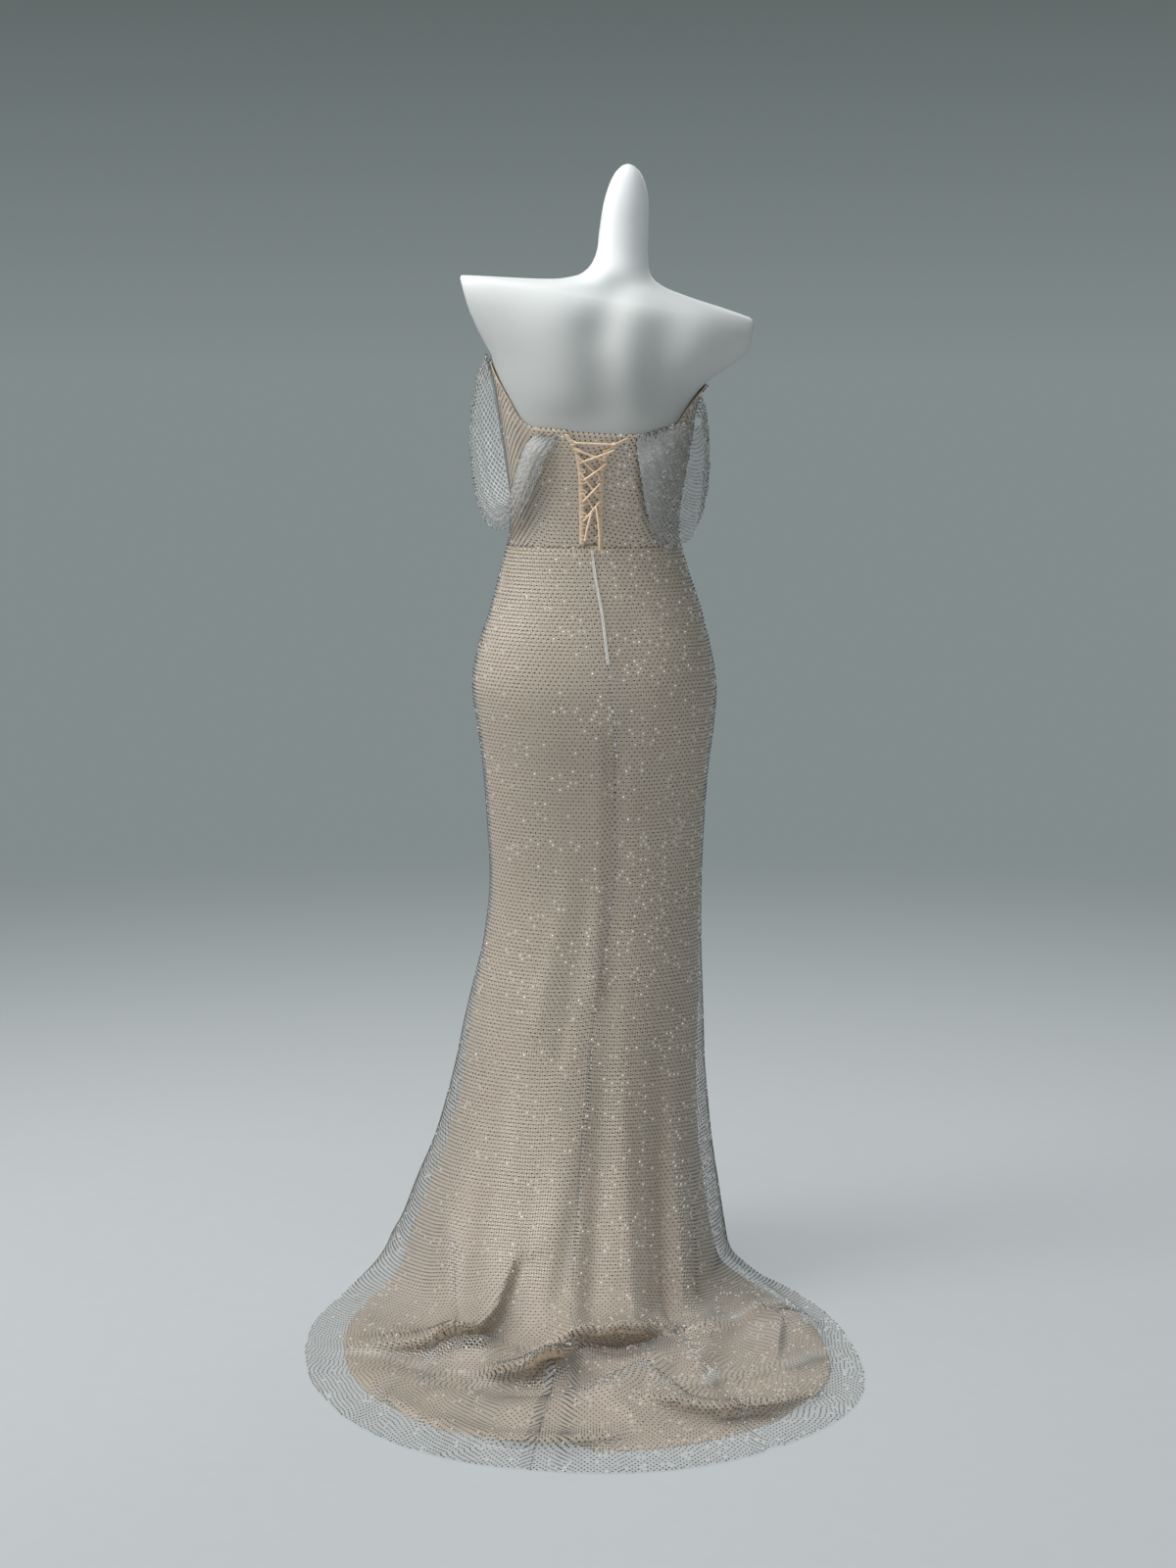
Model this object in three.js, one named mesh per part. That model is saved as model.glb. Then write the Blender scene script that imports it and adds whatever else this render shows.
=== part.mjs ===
// An evening gown of beaded net over a nude lining, worn by a limbless dress form on a plain stand.
// Millimetres, +Z up. The front faces -Y, the back with its laced placket and train faces +Y,
// and +X is the wearer's left. The origin is on the floor, under the middle of the stand.
import * as THREE from "three";

// Driving sizes of the gown
const WAIST = 1052;
const SEAM_GAP = 0.3;
const NET_WALL = 1.2;
const LINING_WALL = 1.0;
const LAYER_GAP = 0.4;
const WAIST_LAYER_GAP = 1.2;
const HIP_LAYER_GAP = 2.6;
const MODESTY_OUT = 1.9;
const LINING_OUT = 4;
const NET_OUT = LINING_OUT + LAYER_GAP + NET_WALL;
const BODICE_SIDE_ANGLE = -4;
const HEM_CLEARANCE = 1.9;
const LINING_LIFT = 2.6;
const FLOOR_GAP = 0.6;
const LINING_SHORTER = 68;
const LANDING = 40;
const LANDING_SHARE = 0.64;
const FOLDS_BEGIN = 100;
const FOLDS_END = 90;
const BACK_STAND_OFF = 10;
const SIDE_STAND_OFF = 25;

// Driving sizes of the placket, the lacing and the zip
const PLACKET_BOTTOM = 1056;
const BINDING_WIDTH = 7;
const BINDING_WALL = 1.2;
const LACE_DIAMETER = 3.2;
const LACE_SIDES = 8;
const ZIP_START = 0.002;
const ZIP_ROWS = 3;
const ZIP_WIDTH = 4.5;
const ZIP_WALL = 1.4;

// Driving sizes of the stand under the form
const FORM_BOTTOM = 770;
const POLE_RADIUS = 16;
const BASE_RADIUS = 150;
const BASE_HEIGHT = 10;
const BASE_BEVEL = 3;

// Sections of the dress form: level on the axis, centre, half width, depth to the front and back,
// how square the section is, and how far its left end is tipped up, in degrees.
const FORM = [
  { level: 770, x: 2, y: 0, half: 147, front: 95, back: 97, square: 2.2, tip: 0 },
  { level: 795, x: 2, y: 0, half: 158, front: 102, back: 109, square: 2.2, tip: 0 },
  { level: 855, x: 2, y: 0, half: 165, front: 105, back: 112, square: 2.2, tip: 0 },
  { level: 905, x: 2, y: 0, half: 157, front: 102, back: 104, square: 2.2, tip: 0 },
  { level: 960, x: 1, y: 0, half: 142, front: 97, back: 90, square: 2.15, tip: 0 },
  { level: 1015, x: 2, y: 0, half: 127, front: 90, back: 79, square: 2.1, tip: 0 },
  { level: 1058, x: 2, y: 0, half: 116, front: 86, back: 76, square: 2.1, tip: 0 },
  { level: 1105, x: 1, y: 0, half: 114, front: 90, back: 77, square: 2.15, tip: 1 },
  { level: 1155, x: -1, y: 0, half: 120, front: 103, back: 82, square: 2.2, tip: 2.5 },
  { level: 1210, x: -1, y: 0, half: 129, front: 116, back: 87, square: 2.25, tip: 4 },
  { level: 1260, x: 0, y: 0, half: 137, front: 108, back: 90, square: 2.2, tip: 6 },
  { level: 1295, x: -1, y: 2, half: 150, front: 96, back: 88, square: 2.05, tip: 8 },
  { level: 1320, x: -5, y: 4, half: 173, front: 88, back: 84, square: 2, tip: 8.8 },
  { level: 1345, x: -10, y: 6, half: 198, front: 80, back: 78, square: 2, tip: 8.8 },
  { level: 1370, x: -13, y: 8, half: 218, front: 70, back: 70, square: 2, tip: 8.8 },
  { level: 1388, x: -14, y: 9, half: 220, front: 60, back: 60, square: 2, tip: 8.8 },
  { level: 1397, x: -15, y: 10, half: 206, front: 54, back: 52, square: 2, tip: 8.4 },
  { level: 1403, x: -18, y: 10, half: 166, front: 50, back: 48, square: 2, tip: 7.8 },
  { level: 1409, x: -19, y: 9, half: 119, front: 47, back: 46, square: 2, tip: 6.8 },
  { level: 1416, x: -23.5, y: 8, half: 75.5, front: 44, back: 44, square: 2, tip: 5 },
  { level: 1428, x: -29.5, y: 6, half: 48.5, front: 41, back: 42, square: 2, tip: 3 },
  { level: 1453, x: -36, y: 2, half: 37, front: 36, back: 36, square: 2, tip: 1 },
  { level: 1490, x: -39, y: -2, half: 34, front: 33, back: 33, square: 2, tip: 0 },
  { level: 1525, x: -42, y: -4, half: 31.5, front: 31, back: 31, square: 2, tip: 0 },
  { level: 1553, x: -44, y: -5, half: 25, front: 25, back: 25, square: 2, tip: 0 },
  { level: 1569, x: -44.5, y: -5, half: 17, front: 17, back: 17, square: 2, tip: 0 },
  { level: 1577, x: -44.5, y: -5, half: 9, front: 9, back: 9, square: 2, tip: 0 },
];
const FORM_CROWN = 1580;
// Where the bodice lies on the form, which is smoother there.
const FORM_WORN = { low: 1010, high: 1320, step: 18 };

// The ends of the shoulders above this level: each leans in as it goes down, and bows out a little.
const ARM_LEVEL = 1296;
const ARM_BOW_LENGTH = 110;
const ARM_ENDS = [
  { side: 1, x: 188, z: 1421, lean: 0.42, bow: 6 },
  { side: -1, x: -219, z: 1354, lean: 0.3, bow: 5 },
];

// Sections of the net skirt from the waist to where it lands on the floor.
const SKIRT = [
  { level: 1060, x: 2, half: 121, front: 91, back: 81, square: 2.1 },
  { level: 1018, x: 2, half: 132.5, front: 96, back: 88, square: 2.1 },
  { level: 963, x: 0, half: 149, front: 103.5, back: 102, square: 2.15 },
  { level: 907, x: 2, half: 165, front: 110, back: 117, square: 2.2 },
  { level: 855, x: 2, half: 173.5, front: 113, back: 125, square: 2.2 },
  { level: 794, x: 0, half: 168, front: 112, back: 121, square: 2.2 },
  { level: 738, x: 0, half: 161, front: 110, back: 113, square: 2.15 },
  { level: 653, x: 0, half: 155, front: 108, back: 106, square: 2.1 },
  { level: 566, x: 0, half: 152, front: 107, back: 104, square: 2.1 },
  { level: 480, x: 5, half: 157, front: 110, back: 114, square: 2.1 },
  { level: 423, x: 11, half: 165, front: 115, back: 128, square: 2.1 },
  { level: 365, x: 17, half: 173, front: 121, back: 147, square: 2.1 },
  { level: 306, x: 22, half: 180, front: 128, back: 170, square: 2.1 },
  { level: 248, x: 27, half: 190, front: 136, back: 198, square: 2.1 },
  { level: 189, x: 33, half: 202, front: 146, back: 234, square: 2.1 },
  { level: 130, x: 41, half: 219, front: 158, back: 282, square: 2.1 },
  { level: 71, x: 48, half: 235, front: 172, back: 345, square: 2.1 },
  { level: LANDING, x: 54, half: 246, front: 181, back: 384, square: 2.1 },
];

// The net's hem on the floor, seen from above: its distance from the origin in each direction.
const HEM = [
  { angle: -180, reach: 200 },
  { angle: -150, reach: 194 },
  { angle: -120, reach: 192 },
  { angle: -90, reach: 196 },
  { angle: -60, reach: 222 },
  { angle: -30, reach: 276 },
  { angle: 0, reach: 316 },
  { angle: 12, reach: 345 },
  { angle: 24, reach: 394 },
  { angle: 34, reach: 464 },
  { angle: 45, reach: 548 },
  { angle: 56, reach: 641 },
  { angle: 67, reach: 728 },
  { angle: 76, reach: 780 },
  { angle: 86, reach: 804 },
  { angle: 95, reach: 805 },
  { angle: 104, reach: 774 },
  { angle: 114, reach: 713 },
  { angle: 121, reach: 652 },
  { angle: 127, reach: 581 },
  { angle: 134, reach: 494 },
  { angle: 148, reach: 358 },
  { angle: 158, reach: 286 },
  { angle: 169, reach: 222 },
  { angle: 180, reach: 200 },
];

// Soft folds of the skirt: a line down the back or front with its depth at both ends.
// A ridge stands out, a trough, with its depth below 0, goes in.
const SKIRT_FOLDS = [
  { back: true, x1: -4, z1: 800, x2: 2, z2: 420, width: 12, from: 1, to: 4 },
  { back: true, x1: 34, z1: 560, x2: 56, z2: 30, width: 26, from: 0, to: 9 },
  { back: true, x1: -30, z1: 790, x2: -22, z2: 430, width: 14, from: -3, to: -4 },
  { back: true, x1: -20, z1: 470, x2: 4, z2: 30, width: 16, from: 0, to: -16 },
  { back: true, x1: -6, z1: 300, x2: 56, z2: 40, width: 13, from: 0, to: -8 },
  { back: true, x1: -34, z1: 430, x2: -50, z2: 30, width: 16, from: 0, to: 9 },
  { back: true, x1: -88, z1: 430, x2: -104, z2: 30, width: 13, from: 0, to: -14 },
  { back: true, x1: -118, z1: 360, x2: -124, z2: 30, width: 14, from: 0, to: 11 },
  { back: true, x1: -146, z1: 260, x2: -152, z2: 30, width: 12, from: 0, to: -9 },
  { back: true, x1: 108, z1: 430, x2: 206, z2: 20, width: 22, from: 0, to: -10 },
  { back: true, x1: 40, z1: 300, x2: 128, z2: 20, width: 16, from: 0, to: -9 },
  { back: true, x1: 92, z1: 400, x2: 164, z2: 20, width: 20, from: 0, to: 6 },
  { back: true, x1: 150, z1: 430, x2: 226, z2: 20, width: 20, from: 0, to: 5 },
  { back: true, x1: 184, z1: 300, x2: 246, z2: 20, width: 17, from: 0, to: -6 },
  { back: true, x1: 20, z1: 660, x2: 96, z2: 380, width: 16, from: 0, to: 3 },
  { back: true, x1: -6, z1: 620, x2: 60, z2: 340, width: 12, from: 0, to: -3 },
  { back: true, x1: -50, z1: 950, x2: -46, z2: 790, width: 32, from: -3, to: -3 },
  { back: true, x1: -12, z1: 1012, x2: -128, z2: 916, width: 10, from: 2.5, to: 3.5 },
  { back: false, x1: 118, z1: 360, x2: 168, z2: 20, width: 18, from: 0, to: -15 },
  { back: false, x1: 78, z1: 400, x2: 112, z2: 20, width: 16, from: 0, to: 11 },
  { back: false, x1: 44, z1: 330, x2: 62, z2: 20, width: 15, from: 0, to: -14 },
  { back: false, x1: 6, z1: 420, x2: 12, z2: 20, width: 17, from: 0, to: 11 },
  { back: false, x1: -34, z1: 350, x2: -36, z2: 20, width: 15, from: 0, to: -13 },
  { back: false, x1: -66, z1: 380, x2: -78, z2: 20, width: 14, from: 0, to: 10 },
  { back: false, x1: -100, z1: 330, x2: -124, z2: 20, width: 15, from: 0, to: -13 },
];

// Soft folds of the train, seen from above: a line over the floor with its height at both ends.
const TRAIN_FOLDS = [
  { x1: 300, y1: 190, x2: 196, y2: 420, width: 52, from: 8, to: 18 },
  { x1: 262, y1: 400, x2: 150, y2: 440, width: 38, from: 10, to: 22 },
  { x1: 150, y1: 440, x2: 108, y2: 380, width: 38, from: 22, to: 16 },
  { x1: 128, y1: 512, x2: 62, y2: 520, width: 36, from: 15, to: 26 },
  { x1: 62, y1: 520, x2: 14, y2: 450, width: 36, from: 26, to: 22 },
  { x1: -78, y1: 400, x2: -70, y2: 490, width: 40, from: 22, to: 26 },
  { x1: -70, y1: 490, x2: -40, y2: 610, width: 40, from: 22, to: 8 },
  { x1: -140, y1: 340, x2: -116, y2: 450, width: 38, from: 16, to: 20 },
  { x1: -196, y1: 170, x2: -262, y2: 330, width: 46, from: 12, to: 22 },
  { x1: -262, y1: 330, x2: -226, y2: 540, width: 44, from: 22, to: 14 },
  { x1: -280, y1: 480, x2: -60, y2: 640, width: 34, from: 10, to: 9 },
  { x1: 262, y1: 520, x2: 96, y2: 640, width: 38, from: 9, to: 12 },
  { x1: 96, y1: 640, x2: -60, y2: 640, width: 36, from: 11, to: 9 },
  { x1: 320, y1: 330, x2: 262, y2: 520, width: 38, from: 9, to: 11 },
];

// The centre back seam of the skirt, as an angle round its sections.
const BACK_SEAM = [
  { level: 1060, angle: 88.3 },
  { level: 890, angle: 95.4 },
  { level: 800, angle: 97.5 },
  { level: 590, angle: 99.5 },
  { level: 420, angle: 94 },
  { level: 300, angle: 93.6 },
  { level: 0, angle: 93 },
];

// The bodice's top edge, as a level in each direction round the form.
const TOP_EDGE = [
  { angle: -180, level: 1299 },
  { angle: -165, level: 1303 },
  { angle: -140, level: 1299 },
  { angle: -115, level: 1286 },
  { angle: -90, level: 1276 },
  { angle: -65, level: 1286 },
  { angle: -40, level: 1293 },
  { angle: -15, level: 1292 },
  { angle: 5, level: 1284 },
  { angle: 19, level: 1264 },
  { angle: 30, level: 1243 },
  { angle: 38, level: 1224 },
  { angle: 49, level: 1213 },
  { angle: 60, level: 1212 },
  { angle: 90, level: 1212 },
  { angle: 120, level: 1212 },
  { angle: 131, level: 1214 },
  { angle: 142, level: 1226 },
  { angle: 150, level: 1243 },
  { angle: 161, level: 1268 },
  { angle: 175, level: 1293 },
  { angle: 180, level: 1299 },
];

// The laced placket's edges across the back: the left one and the right one at each level.
const PLACKET = [
  { level: 1050, left: 15, right: -1 },
  { level: 1056, left: 16.5, right: -3 },
  { level: 1110, left: 17, right: -4.5 },
  { level: 1150, left: 18.5, right: -5.5 },
  { level: 1170, left: 20.5, right: -8 },
  { level: 1185, left: 25, right: -14 },
  { level: 1198, left: 32, right: -27 },
  { level: 1208, left: 38, right: -42 },
  { level: 1220, left: 42, right: -52 },
];
const MODESTY = { behind: 7, top: 1210, bottom: 1058 };

// The lacing: each span's ends on the placket's edges, and the layer it lies in.
const LACE_SPANS = [
  { name: "lacing_bar", x1: 30, z1: 1196, x2: -26, z2: 1197, layer: 0 },
  { name: "lacing_down_1", x1: 30, z1: 1188, x2: -12, z2: 1174, layer: 0 },
  { name: "lacing_up_1", x1: -24, z1: 1189, x2: 18, z2: 1171, layer: 1 },
  { name: "lacing_down_2", x1: 26, z1: 1180, x2: -6, z2: 1150, layer: 0 },
  { name: "lacing_up_2", x1: -14, z1: 1170, x2: 15, z2: 1147, layer: 1 },
  { name: "lacing_down_3", x1: 20, z1: 1156, x2: -3, z2: 1124, layer: 0 },
  { name: "lacing_up_3", x1: -6, z1: 1143, x2: 17, z2: 1117, layer: 1 },
  { name: "lacing_down_4", x1: 18, z1: 1130, x2: -2, z2: 1098, layer: 0 },
  { name: "lacing_up_4", x1: -5, z1: 1117, x2: 16, z2: 1090, layer: 1 },
  { name: "lacing_tail_left", x1: 6, z1: 1103, x2: 15, z2: 1062, layer: 2 },
  { name: "lacing_tail_right", x1: 0, z1: 1111, x2: -5, z2: 1050, layer: 2 },
];

// The draped sleeves: how far along the strip, its upper edge and its hem there,
// and how far its middle stands out.
const SLEEVE_LEFT = [
  { at: 0, topX: 146, topY: -62, topZ: 1312, hemX: 128, hemY: -84, hemZ: 1292, puff: 1 },
  { at: 0.08, topX: 156, topY: -52, topZ: 1319, hemX: 158, hemY: -84, hemZ: 1282, puff: 8 },
  { at: 0.22, topX: 148, topY: -36, topZ: 1276, hemX: 175, hemY: -78, hemZ: 1234, puff: 14 },
  { at: 0.38, topX: 136, topY: -18, topZ: 1212, hemX: 176, hemY: -58, hemZ: 1160, puff: 16 },
  { at: 0.54, topX: 125, topY: 8, topZ: 1150, hemX: 162, hemY: -14, hemZ: 1096, puff: 15 },
  { at: 0.68, topX: 118, topY: 36, topZ: 1118, hemX: 134, hemY: 34, hemZ: 1075, puff: 10 },
  { at: 0.8, topX: 115, topY: 58, topZ: 1142, hemX: 102, hemY: 70, hemZ: 1104, puff: 7 },
  { at: 0.9, topX: 102, topY: 70, topZ: 1184, hemX: 78, hemY: 88, hemZ: 1154, puff: 4 },
  { at: 1, topX: 88, topY: 76, topZ: 1212, hemX: 58, hemY: 92, hemZ: 1208, puff: 1 },
];
const SLEEVE_RIGHT = [
  { at: 0, topX: -142, topY: -64, topZ: 1258, hemX: -130, hemY: -86, hemZ: 1238, puff: 1 },
  { at: 0.08, topX: -150, topY: -54, topZ: 1264, hemX: -150, hemY: -84, hemZ: 1226, puff: 5 },
  { at: 0.22, topX: -150, topY: -36, topZ: 1250, hemX: -156, hemY: -76, hemZ: 1186, puff: 8 },
  { at: 0.38, topX: -150, topY: -12, topZ: 1234, hemX: -152, hemY: -52, hemZ: 1120, puff: 10 },
  { at: 0.54, topX: -149, topY: 14, topZ: 1224, hemX: -140, hemY: -4, hemZ: 1068, puff: 12 },
  { at: 0.7, topX: -143, topY: 38, topZ: 1220, hemX: -100, hemY: 62, hemZ: 1052, puff: 12 },
  { at: 0.82, topX: -137, topY: 53, topZ: 1220, hemX: -75, hemY: 90, hemZ: 1084, puff: 9 },
  { at: 0.92, topX: -131, topY: 60, topZ: 1222, hemX: -63, hemY: 97, hemZ: 1142, puff: 5 },
  { at: 1, topX: -124, topY: 64, topZ: 1224, hemX: -62, hemY: 93, hemZ: 1206, puff: 1 },
];
const SLEEVE_CLEARANCE = 0.9;
const SLEEVE_SEWN = 0.07;
const SLEEVE_GATHER = { count: 5, depth: 2.6 };

const COLOURS = {
  net: { color: 0xb9b3aa, roughness: 0.35, metalness: 0.45 },
  lining: { color: 0xd8bfa6, roughness: 0.55, metalness: 0 },
  trim: { color: 0xdcb694, roughness: 0.6, metalness: 0 },
  zip: { color: 0xe9e4dc, roughness: 0.5, metalness: 0 },
  form: { color: 0xe9ecec, roughness: 0.55, metalness: 0 },
  stand: { color: 0xd9dcdc, roughness: 0.35, metalness: 0.2 },
};

// How much of the folds each layer shows down the skirt and on the floor,
// and how far it lies above the plain train.
const NET_LAYER = { folds: 1, train: 1, puff: 5 };
const LINING_LAYER = { folds: 0.8, train: 0.35, puff: 0 };

// How finely each layer is divided: columns round it, rows down it and rows over the floor.
const NET_SIZES = { frontColumns: 18, backColumns: 14, fallRows: 19, trainRows: 13 };
const LINING_SIZES = { frontColumns: 12, backColumns: 9, fallRows: 19, trainRows: 8 };
const BODICE_SIZES = { columns: 7, rows: 9 };

const RADIANS = Math.PI / 180;

// A smooth value between the rows of a table, which run up or down by their key column.
function valueAt(rows, key, column, place) {
  const rising = rows[rows.length - 1][key] > rows[0][key];
  let i = 0;
  while (i < rows.length - 2 && (rising ? place > rows[i + 1][key] : place < rows[i + 1][key])) {
    i += 1;
  }
  const a = rows[i];
  const b = rows[i + 1];
  const before = rows[Math.max(i - 1, 0)];
  const after = rows[Math.min(i + 2, rows.length - 1)];
  const span = b[key] - a[key];
  const t = THREE.MathUtils.clamp((place - a[key]) / span, 0, 1);
  const slopeA = (b[column] - before[column]) / (b[key] - before[key] || span);
  const slopeB = (after[column] - a[column]) / (after[key] - a[key] || span);
  const keep = (1 + 2 * t) * (1 - t) * (1 - t) * a[column];
  const reach = t * t * (3 - 2 * t) * b[column];
  return keep + reach + span * (t * (1 - t) * (1 - t) * slopeA - t * t * (1 - t) * slopeB);
}

function sectionAt(rows, level) {
  const section = {};
  for (const column of Object.keys(rows[0])) {
    section[column] = column === "level" ? level : valueAt(rows, "level", column, level);
  }
  return section;
}

const signedPower = (value, power) => Math.sign(value) * Math.abs(value) ** power;

// A place round a rounded section: across to the left, and deep to the back.
function roundSection(section, angle) {
  const power = 2 / section.square;
  const deep = Math.sin(angle) > 0 ? section.back : section.front;
  return {
    across: section.half * signedPower(Math.cos(angle), power),
    deep: deep * signedPower(Math.sin(angle), power),
  };
}

// The form's surface at an angle round it and a level up it.
function formSurface(angle, level) {
  const section = sectionAt(FORM, level);
  const { across, deep } = roundSection(section, angle);
  const tip = section.tip * RADIANS;
  const z = level + across * Math.sin(tip);
  let x = section.x + across * Math.cos(tip);
  for (const end of ARM_ENDS) {
    const drop = Math.max(end.z - z, 0);
    const bow = end.bow * Math.sin(Math.PI * Math.min(drop / ARM_BOW_LENGTH, 1));
    const limit = end.x + end.side * (bow - end.lean * drop);
    if (level > ARM_LEVEL && end.side * (x - limit) > 0) x = limit;
  }
  return new THREE.Vector3(x, section.y + deep, z);
}

// How far a soft fold stands out, at a distance from its line.
function foldAt(fold, px, py, ax, ay, bx, by) {
  const length = (bx - ax) ** 2 + (by - ay) ** 2;
  const along = ((px - ax) * (bx - ax) + (py - ay) * (by - ay)) / length;
  const t = THREE.MathUtils.clamp(along, 0, 1);
  const distance = Math.hypot(px - ax - t * (bx - ax), py - ay - t * (by - ay));
  const height = THREE.MathUtils.lerp(fold.from, fold.to, t);
  return height * Math.exp(-((distance / fold.width) ** 2));
}

// A section of the skirt with its folds, or a share of them, out from its plain surface.
function skirtSection(angle, level, share) {
  const section = sectionAt(SKIRT, level);
  const { across, deep } = roundSection(section, angle);
  const x = section.x + across;
  let out = 0;
  for (const fold of SKIRT_FOLDS) {
    if (fold.back !== deep > 0) continue;
    out += foldAt(fold, x, level, fold.x1, fold.z1, fold.x2, fold.z2);
  }
  const facing = share * Math.min(Math.abs(Math.sin(angle)) * 1.6, 1);
  const away = new THREE.Vector2(Math.cos(angle) / section.half, Math.sin(angle) / section.back);
  away.normalize().multiplyScalar(out * facing);
  return new THREE.Vector3(x + away.x, deep + away.y, level);
}

// The skirt's surface: down from the waist, then over the floor to the hem.
function skirtSurface(angle, down, layer = NET_LAYER) {
  if (down <= LANDING_SHARE) {
    const level = THREE.MathUtils.lerp(WAIST, LANDING, down / LANDING_SHARE);
    return skirtSection(angle, level, layer.folds);
  }
  const out = (down - LANDING_SHARE) / (1 - LANDING_SHARE);
  const landing = skirtSection(angle, LANDING, layer.folds);
  const direction = Math.atan2(landing.y, landing.x);
  const near = Math.hypot(landing.x, landing.y);
  const far = valueAt(HEM, "angle", "reach", direction / RADIANS);
  const run = Math.max(far - near, 4);
  const reach = near + out * run;
  const x = reach * Math.cos(direction);
  const y = reach * Math.sin(direction);
  const lined = THREE.MathUtils.smoothstep(far - LINING_SHORTER - reach, -14, 10);
  const floor = HEM_CLEARANCE + LINING_LIFT * lined * Math.min(run / 100, 1);
  let height = floor + (LANDING - floor) * Math.max(1 - out, 0) ** Math.max(1, 0.02 * run);
  const begun = THREE.MathUtils.smoothstep(out * run, 0, FOLDS_BEGIN);
  const soft = begun * THREE.MathUtils.smoothstep(far - reach, 0, FOLDS_END);
  height += layer.puff * soft;
  for (const fold of TRAIN_FOLDS) {
    height += layer.train * soft * foldAt(fold, x, y, fold.x1, fold.y1, fold.x2, fold.y2);
  }
  return new THREE.Vector3(x, y, height);
}

// A draped sleeve's surface: along the strip, and across it from its upper edge to its hem.
function sleeveSurface(rows, side) {
  return (along, across) => {
    const get = (column) => valueAt(rows, "at", column, along);
    const top = new THREE.Vector3(get("topX"), get("topY"), get("topZ"));
    const hem = new THREE.Vector3(get("hemX"), get("hemY"), get("hemZ"));
    const point = top.lerp(hem, across);
    const arch = Math.sin(Math.PI * across);
    const waves = Math.sin(2 * Math.PI * SLEEVE_GATHER.count * across);
    const gather = SLEEVE_GATHER.depth * waves * Math.sin(Math.PI * Math.min(along * 1.1, 1));
    const out = new THREE.Vector3(point.x + 5 * side, point.y, 0).normalize();
    point.addScaledVector(out, get("puff") * arch + gather * 0.6);
    point.z -= 0.35 * get("puff") * arch;
    const clear = clearOfBodice(point, SLEEVE_CLEARANCE);
    const sewn = Math.max(1 - along / SLEEVE_SEWN, 1 - (1 - along) / SLEEVE_SEWN, 0);
    return sewn > 0 ? clear.lerp(onBodice(clear), THREE.MathUtils.smoothstep(sewn, 0, 0.95)) : clear;
  };
}

// The level on the form's axis of a place beside it, whose sections may be tipped.
function levelOf(point) {
  let level = point.z;
  for (let turn = 0; turn < 3; turn += 1) {
    const section = sectionAt(FORM, level);
    level = point.z - (point.x - section.x) * Math.tan(section.tip * RADIANS);
  }
  return level;
}

// The place on the bodice's net nearest to a point beside it, half a wall and a seam's gap out.
function onBodice(point) {
  const level = levelOf(point);
  const section = sectionAt(FORM, level);
  const y = point.y - section.y;
  const deep = y > 0 ? section.back : section.front;
  const across = signedPower((point.x - section.x) / section.half, section.square / 2);
  const angle = Math.atan2(signedPower(y / deep, section.square / 2), across);
  return movedOut(formSurface, angle, level, NET_OUT + SEAM_GAP + NET_WALL / 2);
}

// Moves a place out of the bodice until it stands clear of its net.
function clearOfBodice(point, clearance) {
  if (point.z > TOP_EDGE[2].level + 20) return point;
  const level = levelOf(point);
  const skirt = level < WAIST;
  const section = skirt ? sectionAt(SKIRT, level) : sectionAt(FORM, level);
  const grown = (skirt ? 0 : NET_OUT) + NET_WALL + clearance;
  const wide = section.half + grown;
  const centreY = section.y || 0;
  const deep = (point.y > centreY ? section.back : section.front) + grown;
  const x = point.x - section.x;
  const y = point.y - centreY;
  const far = (Math.abs(x / wide) ** section.square + Math.abs(y / deep) ** section.square)
    ** (1 / section.square);
  if (far >= 1) return point;
  return new THREE.Vector3(section.x + x / far, centreY + y / far, point.z);
}

// A place moved out along the surface's own normal. The skirt's rows run down, so its facing is -1.
function movedOut(surface, u, v, distance, facing = 1) {
  const step = 2e-4;
  const point = surface(u, v);
  const alongU = surface(u + step, v).sub(surface(u - step, v));
  const alongV = surface(u, v + step).sub(surface(u, v - step));
  const normal = alongU.cross(alongV).normalize();
  return point.addScaledVector(normal, distance * facing);
}

// A closed wall over a grid of places: place(i, j, outer) for columns i and rows j.
function wallGeometry(columns, rows, place) {
  const positions = [];
  const faces = [];
  const wide = columns + 1;
  for (const outer of [true, false]) {
    for (let j = 0; j <= rows; j += 1) {
      for (let i = 0; i < wide; i += 1) positions.push(...place(i, j, outer).toArray());
    }
  }
  const layer = wide * (rows + 1);
  const index = (i, j, outer) => (outer ? 0 : layer) + j * wide + i;
  const quad = (a, b, c, d) => faces.push(a, b, c, a, c, d);
  for (let j = 0; j < rows; j += 1) {
    for (let i = 0; i < columns; i += 1) {
      quad(index(i, j, true), index(i + 1, j, true), index(i + 1, j + 1, true), index(i, j + 1, true));
      quad(index(i, j, false), index(i, j + 1, false), index(i + 1, j + 1, false), index(i + 1, j, false));
    }
  }
  for (let i = 0; i < columns; i += 1) {
    quad(index(i, 0, false), index(i + 1, 0, false), index(i + 1, 0, true), index(i, 0, true));
    quad(index(i, rows, true), index(i + 1, rows, true), index(i + 1, rows, false), index(i, rows, false));
  }
  for (let j = 0; j < rows; j += 1) {
    quad(index(0, j, true), index(0, j + 1, true), index(0, j + 1, false), index(0, j, false));
    quad(index(columns, j, false), index(columns, j + 1, false), index(columns, j + 1, true),
      index(columns, j, true));
  }
  return solidGeometry(positions, faces);
}

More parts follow.
